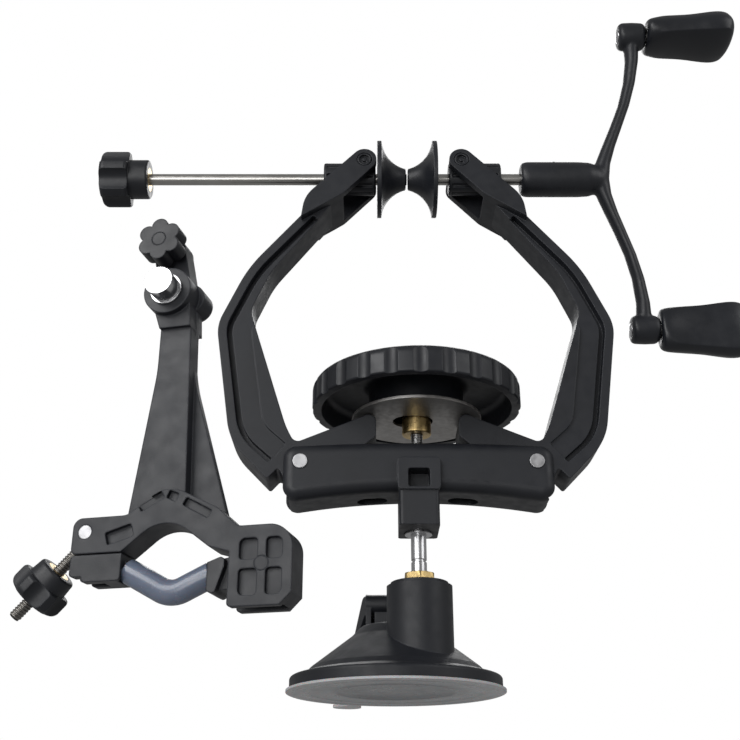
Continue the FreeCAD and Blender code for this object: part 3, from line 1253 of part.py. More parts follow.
for make in (suction_pad, base_housing, draw_yoke, cam_lever, lever_pin, post, swivel_spigot, thrust_ring, brass_bush,
             crossbeam, pivot_pins, threaded_stud, pressure_disc, handwheel, wheel_insert):
    make()
arm("left_arm", "left_pivot_screw", "-", "-")
arm("right_arm", "right_pivot_screw", "", "+")
holder("left_holder", "left_bush", "-", "-")
holder("right_holder", "right_bush", "", "+")
for make in (left_spindle, nip_tip, crank, grips, clamp_frame, clamp_stub, star_knob, clamp_jaw, jaw_sleeve,
             clamp_pins, swing_bolt, bolt_knob):
    make()
document.recompute()

for thing in document.Objects:
    if {"Invalid", "Error"} & set(thing.State):
        raise RuntimeError(f"{thing.Label}: {thing.State}")
os.makedirs("parts", exist_ok=True)
for node in NODES:
    if node.Shape.isNull() or not node.Shape.isValid():
        raise RuntimeError(f"{node.Label} has no valid shape")
    node.Shape.exportStep(f"parts/{node.Label}.step")
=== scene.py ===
import bpy
import json
import math
from mathutils import Matrix, Vector


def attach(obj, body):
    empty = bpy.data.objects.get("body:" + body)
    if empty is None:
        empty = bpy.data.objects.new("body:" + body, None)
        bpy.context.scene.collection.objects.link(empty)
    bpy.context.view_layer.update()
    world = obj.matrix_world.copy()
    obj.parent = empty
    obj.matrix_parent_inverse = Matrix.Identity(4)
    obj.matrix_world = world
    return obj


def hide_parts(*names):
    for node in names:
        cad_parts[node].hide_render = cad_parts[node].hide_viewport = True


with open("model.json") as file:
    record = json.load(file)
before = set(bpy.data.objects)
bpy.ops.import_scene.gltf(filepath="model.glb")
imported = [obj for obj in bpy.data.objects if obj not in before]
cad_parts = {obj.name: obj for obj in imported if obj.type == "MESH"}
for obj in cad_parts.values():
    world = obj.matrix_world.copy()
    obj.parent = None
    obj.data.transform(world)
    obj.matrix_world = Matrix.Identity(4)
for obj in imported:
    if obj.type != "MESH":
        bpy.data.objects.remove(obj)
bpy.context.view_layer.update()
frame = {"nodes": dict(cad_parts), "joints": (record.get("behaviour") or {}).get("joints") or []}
node = frame["nodes"]
MM = 0.001


# ---- the bench, the light and the eye ----
# A pale bench top that is seen only from above and lets the light under it through, so that
# the underside of the foot shows as it does when the set lies before the eye.

def plain_shader(name):
    """A new surface: its material, its tree and its main shader."""
    surface = bpy.data.materials.new(name)
    surface.use_nodes = True
    tree = surface.node_tree
    return surface, tree, tree.nodes["Principled BSDF"]


def calc(tree, kind, first, second):
    """One math step on two values or sockets."""
    step = tree.nodes.new("ShaderNodeMath")
    step.operation = kind
    for slot, value in zip(step.inputs, (first, second)):
        if isinstance(value, (int, float)):
            slot.default_value = value
        else:
            tree.links.new(value, slot)
    return step.outputs[0]


BENCH_WIDTH = 8
BENCH_DROP = 0.0002
BENCH_TONE = (0.62, 0.62, 0.62, 1)
BENCH_GLOW = 0.33
bpy.ops.object.select_all(action="DESELECT")
bpy.ops.mesh.primitive_plane_add(size=BENCH_WIDTH, location=(0, 0, -BENCH_DROP))
bench = bpy.context.object
bench.name = "bench_top"
bench_paint, tree, paint = plain_shader("bench_paint")
paint.inputs["Base Color"].default_value = BENCH_TONE
paint.inputs["Emission Color"].default_value = (1, 1, 1, 1)
paint.inputs["Emission Strength"].default_value = BENCH_GLOW
paint.inputs["Roughness"].default_value = 0.9
side = tree.nodes.new("ShaderNodeNewGeometry")
path = tree.nodes.new("ShaderNodeLightPath")
clear = tree.nodes.new("ShaderNodeBsdfTransparent")
see_through = tree.nodes.new("ShaderNodeMixShader")
from_above = calc(tree, "SUBTRACT", 1, side.outputs["Backfacing"])
tree.links.new(calc(tree, "MULTIPLY", from_above, path.outputs["Is Camera Ray"]), see_through.inputs[0])
tree.links.new(clear.outputs[0], see_through.inputs[1])
tree.links.new(paint.outputs[0], see_through.inputs[2])
tree.links.new(see_through.outputs[0], tree.nodes["Material Output"].inputs["Surface"])
bench.data.materials.append(bench_paint)

SKY_LIGHT = 0.32
LAMPS = (("soft_box_left", (-0.75, -0.85, 0.60), 0.7, 9),
         ("soft_box_right", (0.85, -0.55, 0.55), 0.6, 3),
         ("soft_box_back", (0.1, 0.9, 0.8), 0.6, 4),
         ("soft_box_front", (-0.3, -1.0, 0.05), 0.5, 4))
LAMP_AIM = Vector((0, 0, 0.15))
world = bpy.data.worlds.new("studio")
bpy.context.scene.world = world
world.use_nodes = True
sky = world.node_tree
ray = sky.nodes.new("ShaderNodeLightPath")
seen = calc(sky, "MAXIMUM", ray.outputs["Is Camera Ray"], ray.outputs["Is Transmission Ray"])
lit = calc(sky, "MULTIPLY", seen, 1 - SKY_LIGHT)
sky.links.new(calc(sky, "ADD", lit, SKY_LIGHT), sky.nodes["Background"].inputs["Strength"])
sky.nodes["Background"].inputs["Color"].default_value = (1, 1, 1, 1)

for name, place, size, power in LAMPS:
    lamp = bpy.data.lights.new(name, "AREA")
    lamp.size = size
    lamp.energy = power
    stand = bpy.data.objects.new(name, lamp)
    bpy.context.scene.collection.objects.link(stand)
    stand.location = place
    stand.rotation_euler = (LAMP_AIM - Vector(place)).to_track_quat("-Z", "Y").to_euler()

EYE_SPOT = (-0.0098, -0.422, -0.0513)
EYE_TILT = 23.7
EYE_LENS = 52.3
EYE_SENSOR = 36
eye = bpy.data.cameras.new("eye")
eye.lens = EYE_LENS
eye.sensor_width = EYE_SENSOR
eye.clip_start = 0.01
eye_stand = bpy.data.objects.new("eye", eye)
bpy.context.scene.collection.objects.link(eye_stand)
eye_stand.location = EYE_SPOT
eye_stand.rotation_euler = (math.radians(90 + EYE_TILT), 0, 0)
bpy.context.scene.camera = eye_stand
bpy.context.scene.view_settings.view_transform = "Standard"


# ---- suction pad ----
# A disc of smoky soft rubber with a pull tab at its edge. Rings moulded in its face seal it to
# the bench, and the foot moulding sits on it.

def raised(rings, sides, bored=False):
    """A closed turned shape up the Z axis: a disc drawn out ring by ring, each (radius, height) or
    (half width, half depth, height) in mm. A bored one starts and ends at the same ring."""
    rings = [ring if len(ring) == 3 else (ring[0], ring[0], ring[1]) for ring in rings]
    wide, deep, rise = rings[0]
    bpy.ops.object.select_all(action="DESELECT")
    bpy.ops.mesh.primitive_circle_add(vertices=sides, radius=wide * MM, location=(0, 0, rise * MM),
                                      fill_type="NOTHING" if bored else "NGON")
    bpy.ops.object.transform_apply()
    piece = bpy.context.object
    bpy.ops.object.mode_set(mode="EDIT")
    bpy.ops.mesh.select_mode(type="VERT")
    bpy.ops.mesh.select_all(action="SELECT")
    for next_wide, next_deep, next_rise in rings[1:]:
        bpy.ops.mesh.extrude_region_move(TRANSFORM_OT_translate={"value": (0, 0, (next_rise - rise) * MM)})
        bpy.ops.transform.resize(value=(next_wide / wide, next_deep / deep, 1), center_override=(0, 0, 0))
        wide, deep, rise = next_wide, next_deep, next_rise
    closed(piece)
    return piece


WELD = 0.002


def closed(piece):
    """Merges what meets, turns the faces outwards and leaves edit mode."""
    bpy.ops.mesh.select_all(action="SELECT")
    bpy.ops.mesh.remove_doubles(threshold=WELD * MM)
    bpy.ops.mesh.normals_make_consistent(inside=False)
    bpy.ops.object.mode_set(mode="OBJECT")
    return piece


def picked(piece, faces=None, edges=None):
    """Goes into edit mode with only the faces or edges that a test picks."""
    bpy.ops.object.select_all(action="DESELECT")
    piece.select_set(True)
    bpy.context.view_layer.objects.active = piece
    bpy.ops.object.mode_set(mode="EDIT")
    bpy.ops.mesh.select_mode(type="EDGE" if edges else "FACE")
    bpy.ops.mesh.select_all(action="DESELECT")
    bpy.ops.object.mode_set(mode="OBJECT")
    mesh = piece.data
    if faces:
        for face in mesh.polygons:
            face.select = faces(face.center / MM, face.normal)
    else:
        for edge in mesh.edges:
            start, end = (mesh.vertices[index].co / MM for index in edge.vertices)
            edge.select = edges(start, end)
    bpy.ops.object.mode_set(mode="EDIT")


def laid(piece, spot, way, roll=0.0):
    """Turns the piece's Z axis one way, rolls it round that, and moves it to its spot in mm."""
    turned_way = Vector((0, 0, 1)).rotation_difference(Vector(way)).to_matrix().to_4x4()
    place = Matrix.Translation(Vector(spot) * MM)
    bpy.ops.object.select_all(action="DESELECT")
    piece.select_set(True)
    bpy.context.view_layer.objects.active = piece
    piece.matrix_world = place @ turned_way @ Matrix.Rotation(math.radians(roll), 4, "Z") @ piece.matrix_world
    bpy.ops.object.transform_apply()
    return piece


def joined(first, *others):
    """Joins pieces into the first."""
    bpy.ops.object.select_all(action="DESELECT")
    for piece in (first, *others):
        piece.select_set(True)
    bpy.context.view_layer.objects.active = first
    bpy.ops.object.join()
    return first


def dressed(piece, name, surface, body, nodes, sharp=35):
    """Names a piece, shades it smooth up to an angle, paints it, hangs it on its body and hides the CAD nodes
    it replaces.
    """
    bpy.ops.object.select_all(action="DESELECT")
    piece.select_set(True)
    bpy.context.view_layer.objects.active = piece
    bpy.ops.object.shade_smooth_by_angle(angle=math.radians(sharp))
    piece.name = name
    piece.data.name = name
    piece.data.materials.clear()
    piece.data.materials.append(surface)
    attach(piece, body)
    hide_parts(*nodes)


def finish_with(surface, *names):
    """Puts one finish over whole CAD nodes."""
    for name in names:
        node[name].data.materials.clear()
        node[name].data.materials.append(surface)


def grain(tree, scale, detail=3.0, stretch=(1, 1, 1)):
    """A noise on the piece's own place, stretched along its axes."""
    where = tree.nodes.new("ShaderNodeTexCoord")
    lay = tree.nodes.new("ShaderNodeMapping")
    lay.inputs["Scale"].default_value = stretch
    speck = tree.nodes.new("ShaderNodeTexNoise")
    speck.inputs["Scale"].default_value = scale
    speck.inputs["Detail"].default_value = detail
    tree.links.new(where.outputs["Object"], lay.inputs["Vector"])
    tree.links.new(lay.outputs["Vector"], speck.inputs["Vector"])
    return speck.outputs["Fac"]


def graded(tree, source, low, high, start=0.3, end=0.7):
    """Turns a noise into a spread of values or colours."""
    if isinstance(low, tuple):
        ramp = tree.nodes.new("ShaderNodeValToRGB")
        ramp.color_ramp.elements[0].position = start
        ramp.color_ramp.elements[1].position = end
        ramp.color_ramp.elements[0].color = low + (1,)
        ramp.color_ramp.elements[1].color = high + (1,)
        tree.links.new(source, ramp.inputs["Fac"])
        return ramp.outputs["Color"]
    spread = tree.nodes.new("ShaderNodeMapRange")
    spread.inputs["From Min"].default_value = start
    spread.inputs["From Max"].default_value = end
    spread.inputs["To Min"].default_value = low
    spread.inputs["To Max"].default_value = high
    tree.links.new(source, spread.inputs["Value"])
    return spread.outputs["Result"]


def dented(tree, source, depth, strength=1.0, under=None):
    """The normal of a surface dented by a noise, in metres."""
    bump = tree.nodes.new("ShaderNodeBump")
    bump.inputs["Distance"].default_value = depth
    bump.inputs["Strength"].default_value = strength
    tree.links.new(source, bump.inputs["Height"])
    if under:
        tree.links.new(under, bump.inputs["Normal"])
    return bump.outputs["Normal"]


def rounded(tree, radius):
    """The normal of an edge broken by this radius."""
    edge = tree.nodes.new("ShaderNodeBevel")
    edge.samples = 6
    edge.inputs["Radius"].default_value = radius
    return edge.outputs["Normal"]


pad_rubber, tree, rubber = plain_shader("smoky_pad_rubber")
# Painted light and shade: the disc is painted dark at the centre, for the shade of the black foot above it,
# and pale towards the thin rim, for light coming through the rubber.
PAD_PAINTED_LIGHT_FROM = 0.018
PAD_PAINTED_LIGHT_TO = 0.044
PAD_SHADE_TO_LIGHT_TONES = {"A": ((0.150, 0.154, 0.164), (0.205, 0.210, 0.220)),
              "B": ((0.36, 0.365, 0.375), (0.48, 0.485, 0.49))}
centre_out = tree.nodes.new("ShaderNodeVectorMath")
centre_out.operation = "LENGTH"
tree.links.new(tree.nodes.new("ShaderNodeTexCoord").outputs["Object"], centre_out.inputs[0])
pale = tree.nodes.new("ShaderNodeMix")
pale.data_type = "RGBA"
painted_rim_light = graded(tree, centre_out.outputs["Value"], 0.0, 1.0, PAD_PAINTED_LIGHT_FROM, PAD_PAINTED_LIGHT_TO)
tree.links.new(painted_rim_light, pale.inputs["Factor"])
for end, (low, high) in PAD_SHADE_TO_LIGHT_TONES.items():
    tree.links.new(graded(tree, grain(tree, 45, 5), low, high), pale.inputs[end])
tree.links.new(pale.outputs["Result"], rubber.inputs["Base Color"])
tree.links.new(graded(tree, grain(tree, 160), 0.24, 0.38), rubber.inputs["Roughness"])
tree.links.new(dented(tree, grain(tree, 900), 0.00002), rubber.inputs["Normal"])
rubber.inputs["Subsurface Weight"].default_value = 0.3
rubber.inputs["Subsurface Scale"].default_value = 0.002
rubber.inputs["IOR"].default_value = 1.42

PAD_RADIUS = 41.8
PAD_RIM = 1.2
PAD_FACE = [(6, 0.9), (22, 0.75), (22.6, 0.35), (23.4, 0.35), (24, 0.6), (33, 0.5), (33.6, 0.2), (34.4, 0.2),
            (35, 0.4), (38.6, 0.35), (39.2, 0), (41.3, 0)]
PAD_BACK = [(PAD_RADIUS, 0.2), (PAD_RADIUS, 1), (41.3, PAD_RIM), (35, PAD_RIM), (9, 4.8), (8, 6)]
TAB_TURN = 112
TAB_ROOT = 2.73
TAB_STEPS = ((4.4, 2.6), (1, 3.2), (1.2, 4.6), (1.6, 5.6), (1.8, 6), (1.8, 5.7), (1.7, 4.7), (1.2, 3.2),
             (0.5, 1.6))
TAB_RIBS_START = PAD_RADIUS + 6.6
TAB_RIB_PITCH = 3.4
TAB_RIB_WIDTH = 1.8
TAB_RIB_RISE = 0.35
pad = raised(PAD_FACE + PAD_BACK, 96)
picked(pad, faces=lambda at, way: at.x > PAD_RADIUS - 0.2 and abs(at.y) < 2 and way.x > 0.9)
half_before = TAB_ROOT
for step, half in TAB_STEPS:
    bpy.ops.mesh.extrude_region_move(TRANSFORM_OT_translate={"value": (step * MM, 0, 0)})
    bpy.ops.transform.resize(value=(1, half / half_before, 1), center_override=(0, 0, 0))
    half_before = half
closed(pad)
picked(pad, faces=lambda at, way: way.z > 0.9 and at.x > TAB_RIBS_START
       and (at.x - PAD_RADIUS) % TAB_RIB_PITCH < TAB_RIB_WIDTH)
bpy.ops.mesh.extrude_region_move(TRANSFORM_OT_translate={"value": (0, 0, TAB_RIB_RISE * MM)})
closed(pad)
laid(pad, (0, 0, 0), (0, 0, 1), TAB_TURN)
dressed(pad, "suction_disc", pad_rubber, "suction_base", ["suction_pad"])


# ---- foot moulding and draw yoke ----
# Ring, dome, post tower and cam saddle, moulded in one in charcoal plastic. The tool left a fine
# spark grain, a little smoother on rubbed edges. The yoke that pulls the pad is the same plastic.

CHARCOAL = (0.0092, 0.0102, 0.0132)
EDGE_BREAK = 0.0006


def charcoal_plastic(name, tone=1.0, gloss=0.0):
    """Charcoal moulded plastic: spark grain, slow colour drift and rubbed edges."""
    surface, tree, body = plain_shader(name)
    dark, pale, rubbed = (tuple(tint * share * tone for tint in CHARCOAL) for share in (0.82, 1.22, 2.3))
    soft = rounded(tree, EDGE_BREAK)
    flat = tree.nodes.new("ShaderNodeNewGeometry")
    apart = tree.nodes.new("ShaderNodeVectorMath")
    apart.operation = "DOT_PRODUCT"
    tree.links.new(soft, apart.inputs[0])
    tree.links.new(flat.outputs["Normal"], apart.inputs[1])
    worn = tree.nodes.new("ShaderNodeMix")
    worn.data_type = "RGBA"
    worn.inputs["B"].default_value = rubbed + (1,)
    tree.links.new(graded(tree, apart.outputs["Value"], 0.6, 0.0, 0.86, 0.995), worn.inputs["Factor"])
    tree.links.new(graded(tree, grain(tree, 38, 6), dark, pale), worn.inputs["A"])
    tree.links.new(worn.outputs["Result"], body.inputs["Base Color"])
    tree.links.new(graded(tree, grain(tree, 210, 4), 0.42 - gloss, 0.56 - gloss), body.inputs["Roughness"])
    tree.links.new(dented(tree, grain(tree, 2600, 2), 0.00003, 0.6, soft), body.inputs["Normal"])
    body.inputs["Specular IOR Level"].default_value = 0.36
    return surface


foot_plastic = charcoal_plastic("foot_plastic")
finish_with(foot_plastic, "base_housing", "draw_yoke")


# ---- cam lever and its pin ----
# The lever that draws the pad up: the same plastic, a little glossier where thumbs rub it. It
# turns on a plain steel cross pin held in the saddle.

finish_with(charcoal_plastic("lever_plastic", 1.0, 0.06), "cam_lever")


def turned_steel(name, along, shade=(0.52, 0.52, 0.53), rough=0.26, fineness=2200):
    """Bright bar steel with fine drawing lines along one axis."""
    surface, tree, metal = plain_shader(name)
    lines = grain(tree, fineness, 3, tuple(0.02 if axis == along else 1.0 for axis in "xyz"))
    tint = graded(tree, grain(tree, 90, 4), tuple(part * 0.86 for part in shade), shade)
    tree.links.new(tint, metal.inputs["Base Color"])
    tree.links.new(graded(tree, lines, rough - 0.08, rough + 0.1), metal.inputs["Roughness"])
    tree.links.new(dented(tree, lines, 0.00001, 0.3, rounded(tree, 0.0003)), metal.inputs["Normal"])
    metal.inputs["Metallic"].default_value = 1.0
    return surface


cross_pin_steel = turned_steel("cross_pin_steel", "y", (0.40, 0.40, 0.41), 0.46, 500)
finish_with(cross_pin_steel, "lever_pin")


# ---- post, bush, thrust ring and spigot ----
# A steel bar held in the tower by a brass bush with a hexagon head. The head turns on its
# plastic spigot, which rests on a steel ring.

post_steel = turned_steel("post_steel", "z")
finish_with(post_steel, "post", "thrust_ring")
finish_with(foot_plastic, "swivel_spigot")


def turned_brass(name, shade=(0.60, 0.44, 0.20)):
    """Machined brass, slightly tarnished."""
    surface, tree, metal = plain_shader(name)
    tint = graded(tree, grain(tree, 120, 5), tuple(part * 0.7 for part in shade), shade)
    tree.links.new(tint, metal.inputs["Base Color"])
    tree.links.new(graded(tree, grain(tree, 700), 0.24, 0.42), metal.inputs["Roughness"])
    bumps = dented(tree, grain(tree, 1500), 0.00002, 0.5, rounded(tree, 0.0003))
    tree.links.new(bumps, metal.inputs["Normal"])
    metal.inputs["Metallic"].default_value = 1.0
    return surface


joints = {joint["name"]: joint for joint in frame["joints"]}


def pivot(name):
    """Where a joint turns, in mm."""
    return Vector(joints[name]["pos_m"]) / MM


post_axis = pivot("head_swivel")
BUSH_BORE = 3.05
BUSH_RADIUS = 4.6
BUSH_FOOT = 28.7
TOWER_TOP = 38.7
BUSH_TOP = 42.4
HEXAGON = 6.35
BUSH_SHANK = [(BUSH_BORE, BUSH_FOOT), (BUSH_RADIUS, BUSH_FOOT), (BUSH_RADIUS, TOWER_TOP)]
BUSH_HEAD = [(5.6, TOWER_TOP), (6.2, 38.9), (HEXAGON, 39.2), (HEXAGON, 41.9), (6.0, 42.25), (5.4, BUSH_TOP)]
BUSH_MOUTH = [(3.6, BUSH_TOP), (BUSH_BORE, 42), (BUSH_BORE, BUSH_FOOT)]
bush = raised(BUSH_SHANK + BUSH_HEAD + BUSH_MOUTH, 48, bored=True)
across_flats = math.cos(math.radians(30)) * HEXAGON
for vertex in bush.data.vertices:
    spot = vertex.co / MM
    if spot.z > TOWER_TOP - 0.1 and spot.xy.length > BUSH_RADIUS + 0.4:
        turn = math.radians((math.degrees(math.atan2(spot.y, spot.x)) + 30) % 60 - 30)
        flat = across_flats / math.cos(turn)
        shrink = min(1, flat / spot.xy.length)
        vertex.co = (vertex.co.x * shrink, vertex.co.y * shrink, vertex.co.z)
laid(bush, (post_axis.x, post_axis.y, 0), (0, 0, 1))
bush_brass = turned_brass("bush_brass", (0.52, 0.38, 0.17))
dressed(bush, "hexagon_bush", bush_brass, "suction_base", ["brass_bush"])


# ---- crossbeam with its pins ----
# A moulded beam that carries both arms. Each arm swings on a bright steel pin whose end shows in
# a shallow recess.

finish_with(charcoal_plastic("beam_plastic"), "crossbeam")
pivot_pin_steel = turned_steel("pivot_pin_steel", "y", (0.52, 0.52, 0.53), 0.36, 500)
finish_with(pivot_pin_steel, "pivot_pins")


# ---- threaded stud ----
# The screw that the handwheel climbs: a steel stud moulded into the beam, its thread cut with a
# round-crested profile and its end turned to a short cone.

STUD_RADIUS = 2.5
STUD_FOOT = 80.9
STUD_TOP = 127.7
STUD_THREAD = 0.38
STUD_PITCH = 1.0
STUD_LEAD = 0.8
CREST_FROM = 0.38
CREST_TO = 0.62
THREAD_STEPS = 24


def threaded(radius, depth, pitch, length, lead):
    """A screw thread up the Z axis with a turned lead at its far end, in mm."""
    turns = round((length - pitch) / pitch)
    end = (turns + 1) * pitch
    bpy.ops.object.select_all(action="DESELECT")
    bpy.ops.mesh.primitive_circle_add(vertices=4, radius=radius * MM)
    piece = bpy.context.object
    root = radius - depth
    profile = ((root, 0), (radius, CREST_FROM), (radius, CREST_TO), (root, 1))
    for vertex, (out, share) in zip(piece.data.vertices, profile):
        vertex.co = (out * MM, 0, share * pitch * MM)
    picked(piece, edges=lambda start, end: abs(start.z - end.z) > pitch * 0.9)
    bpy.ops.mesh.delete(type="EDGE_FACE")
    bpy.ops.object.mode_set(mode="OBJECT")
    screw = piece.modifiers.new("thread", "SCREW")
    screw.axis = "Z"
    screw.steps = THREAD_STEPS
    screw.render_steps = THREAD_STEPS
    screw.screw_offset = pitch * MM
    screw.iterations = turns
    screw.use_merge_vertices = True
    screw.merge_threshold = 0.001 * MM
    bpy.ops.object.modifier_apply(modifier=screw.name)
    bpy.ops.object.mode_set(mode="EDIT")
    bpy.ops.mesh.select_all(action="SELECT")
    bpy.ops.mesh.remove_doubles(threshold=WELD * MM)
    bpy.ops.mesh.fill_holes(sides=0)
    closed(piece)
    tip = raised([(root, end - pitch * 1.2), (root, end), (root, length - lead), (root - lead * 0.6, length)],
                 32)
    return joined(piece, tip)


stud = threaded(STUD_RADIUS, STUD_THREAD, STUD_PITCH, STUD_TOP - STUD_FOOT, STUD_LEAD)
laid(stud, (post_axis.x, post_axis.y, STUD_FOOT), (0, 0, 1))
stud_steel = turned_steel("thread_steel", "z", (0.46, 0.46, 0.46), 0.3)
dressed(stud, "lifting_screw", stud_steel, "head", ["threaded_stud"])


# ---- pressure disc and handwheel ----
# The wheel runs up the stud on its brass insert and lifts a dull nickel-plated disc against the
# arms' fingers. The wheel is charcoal plastic with a scalloped rim.

disc_nickel, tree, metal = plain_shader("disc_nickel")
stain = graded(tree, grain(tree, 70, 5), (0.26, 0.25, 0.24), (0.36, 0.35, 0.34))
tree.links.new(stain, metal.inputs["Base Color"])
tree.links.new(graded(tree, grain(tree, 500), 0.34, 0.54), metal.inputs["Roughness"])
bumps = dented(tree, grain(tree, 1200), 0.00002, 0.6, rounded(tree, 0.0003))
tree.links.new(bumps, metal.inputs["Normal"])
metal.inputs["Metallic"].default_value = 1.0
finish_with(disc_nickel, "pressure_disc")
finish_with(charcoal_plastic("wheel_plastic", 0.9, 0.05), "handwheel")
insert_brass = turned_brass("insert_brass")
finish_with(insert_brass, "wheel_insert")


# ---- arms and the spindle holders between their ears ----
# Cranked levers of I section in charcoal plastic. The ribbed barrels tip between the forked ears
# and are lined with plain bushes.

finish_with(charcoal_plastic("arm_plastic", 1.0, 0.02), "left_arm", "right_arm")
holder_plastic = charcoal_plastic("holder_plastic", 0.9, 0.03)
finish_with(holder_plastic, "left_holder", "right_holder", "left_bush", "right_bush")


# ---- ear screws ----
# Headed plastic screws that each holder tips on, one through each ear. A curled key slot is
# sunk in the head: a round channel that a bridge leaves open to one side.

EAR_HALF = 13
KEY_DEPTH = 1.1
KEY_BOSS = 0.95
KEY_RADIUS = 2.3
KEY_BRIDGE = 20
KEY_BRIDGE_HALF = 38
KEY_BRIDGE_RISE = 0.8
KEY_SLOT = [(0.8, 0.1), (KEY_BOSS, 0.25), (KEY_BOSS, KEY_DEPTH), (KEY_RADIUS, KEY_DEPTH), (KEY_RADIUS, 0.12)]
EAR_HEAD = [(2.42, 0), (2.98, 0), (3.1, 0.12), (3.1, 1.4)]
EAR_SHANK = [(2, 1.4), (2, 7.9), (1.8, 8.1)]
screw_plastic = charcoal_plastic("ear_screw_plastic", 0.9, 0.1)


def on_bridge(at, way):
    """Whether a face lies on the key slot's floor where the bridge crosses it."""
    turn = math.degrees(math.atan2(at.y, at.x)) - KEY_BRIDGE
    floor = way.z < -0.9 and KEY_BOSS + 0.05 < at.xy.length < KEY_RADIUS - 0.05 and at.z > KEY_DEPTH - 0.1
    return floor and abs((turn + 180) % 360 - 180) < KEY_BRIDGE_HALF


def ear_screw():
    """One screw with its head's face at the origin and its shank up the Z axis."""
    screw = raised(KEY_SLOT + EAR_HEAD + EAR_SHANK, 48)
    picked(screw, faces=on_bridge)
    bpy.ops.mesh.extrude_region_move(TRANSFORM_OT_translate={"value": (0, 0, -KEY_BRIDGE_RISE * MM)})
    return closed(screw)


for side in ("left", "right"):
    ear = pivot(f"{side}_block_tip")
    pair = [laid(ear_screw(), ear - Vector((0, way * EAR_HALF, 0)), (0, way, 0)) for way in (1, -1)]
    dressed(joined(*pair), f"{side}_ear_screws", screw_plastic, f"{side}_lever",
            [f"{side}_pivot_screw"])


# ---- spindles with their cones, the lobed knob and the nip ----
# Drawn steel rods. A cone with a thin flange is pressed on each, nose to nose at the nip, and the
# left one has a soft rubber tip. A lobed knob on a brass insert turns the left rod.

NIP_START = 5.85
NIP_DISC = [(2.2, 0), (2.42, 0.06), (2.5, 0.2), (2.5, 0.55), (2.42, 0.69), (2.2, 0.75)]
spindle_steel = turned_steel("spindle_steel", "x", (0.40, 0.39, 0.37), 0.3)
finish_with(spindle_steel, "left_rod", "crank_shaft")
finish_with(charcoal_plastic("cone_plastic", 1.0, 0.08), "left_cone", "right_cone")
finish_with(charcoal_plastic("knob_plastic", 0.85, 0.04), "left_knob")
finish_with(insert_brass, "left_knob_insert")

tip_rubber, tree, rubber = plain_shader("tip_rubber")
bloom = graded(tree, grain(tree, 300), (0.008, 0.008, 0.009), (0.014, 0.014, 0.015))
tree.links.new(bloom, rubber.inputs["Base Color"])
tree.links.new(graded(tree, grain(tree, 900), 0.5, 0.7), rubber.inputs["Roughness"])
tip = laid(raised(NIP_DISC, 48), (NIP_START, *pivot("left_spindle_spin").yz), (1, 0, 0))
dressed(tip, "nip_rubber", tip_rubber, "left_spindle", ["nip_tip"])


# ---- crank with its grub screw and rivets ----
# Hub and two bowed arms moulded in one, fixed to the right rod by a grub screw. A riveted axle
# with a domed bright head goes through each eyelet.

CRANK_LEAN = 13
CRANK_ARM = 69
MOULD_VOXEL = 0.5
FILLET_PASSES = 14
HUB = [(6.4, 48.5), (7.2, 49), (7.8, 51), (7.8, 74), (7.5, 79), (6.2, 83), (4.4, 86), (2.4, 87.2)]
ARM_STEPS = ((84, 0, 4.4, 4.6), (85.6, 7, 3.5, 4.3), (88.6, 15.5, 3.0, 4.1), (92.4, 25, 2.7, 4.0),
             (96.2, 35, 2.6, 4.0), (99.2, 46, 2.7, 4.0), (100.9, 57, 3.0, 4.1), (101, CRANK_ARM, 3.6, 4.3))
EYELET_START = 95
EYELET_WIDTH = 12
EYELET = [(4.6, 0), (5.6, 0.4), (6.2, 1.4), (6.4, 6), (6.2, 10.6), (5.6, 11.6), (4.6, EYELET_WIDTH)]
RIVET_HEAD = 0.8
RIVET_DOME = [(0.7, 0), (1.7, 0.1), (2.5, 0.34), (2.95, 0.66), (3, RIVET_HEAD)]
RIVET_SHANK = [(2.2, RIVET_HEAD), (2.2, 26.9), (1.9, 27.2)]


def crank_arm():
    """One bowed arm from the hub out to its eyelet, up the Z axis, with the spindle along X from
    the post's axis. Each step is (along the spindle, rise, half thickness, half depth) in mm."""
    root = ARM_STEPS[0]
    bpy.ops.object.select_all(action="DESELECT")
    bpy.ops.mesh.primitive_circle_add(vertices=20, radius=MM, fill_type="NGON")
    bpy.ops.transform.resize(value=(root[2], root[3], 1))
    arm = bpy.context.object
    arm.location = (root[0] * MM, 0, 0)
    bpy.ops.object.transform_apply()
    bpy.ops.object.mode_set(mode="EDIT")
    bpy.ops.mesh.select_mode(type="VERT")
    bpy.ops.mesh.select_all(action="SELECT")
    for (across, rise, thin, deep), (to_across, to_rise, to_thin, to_deep) in zip(ARM_STEPS, ARM_STEPS[1:]):
        move = ((to_across - across) * MM, 0, (to_rise - rise) * MM)
        bpy.ops.mesh.extrude_region_move(TRANSFORM_OT_translate={"value": move})
        middle = (to_across * MM, 0, to_rise * MM)
        bpy.ops.transform.resize(value=(to_thin / thin, to_deep / deep, 1), center_override=middle)
    closed(arm)
    return joined(arm, laid(raised(EYELET, 40), (EYELET_START, 0, CRANK_ARM), (1, 0, 0)))


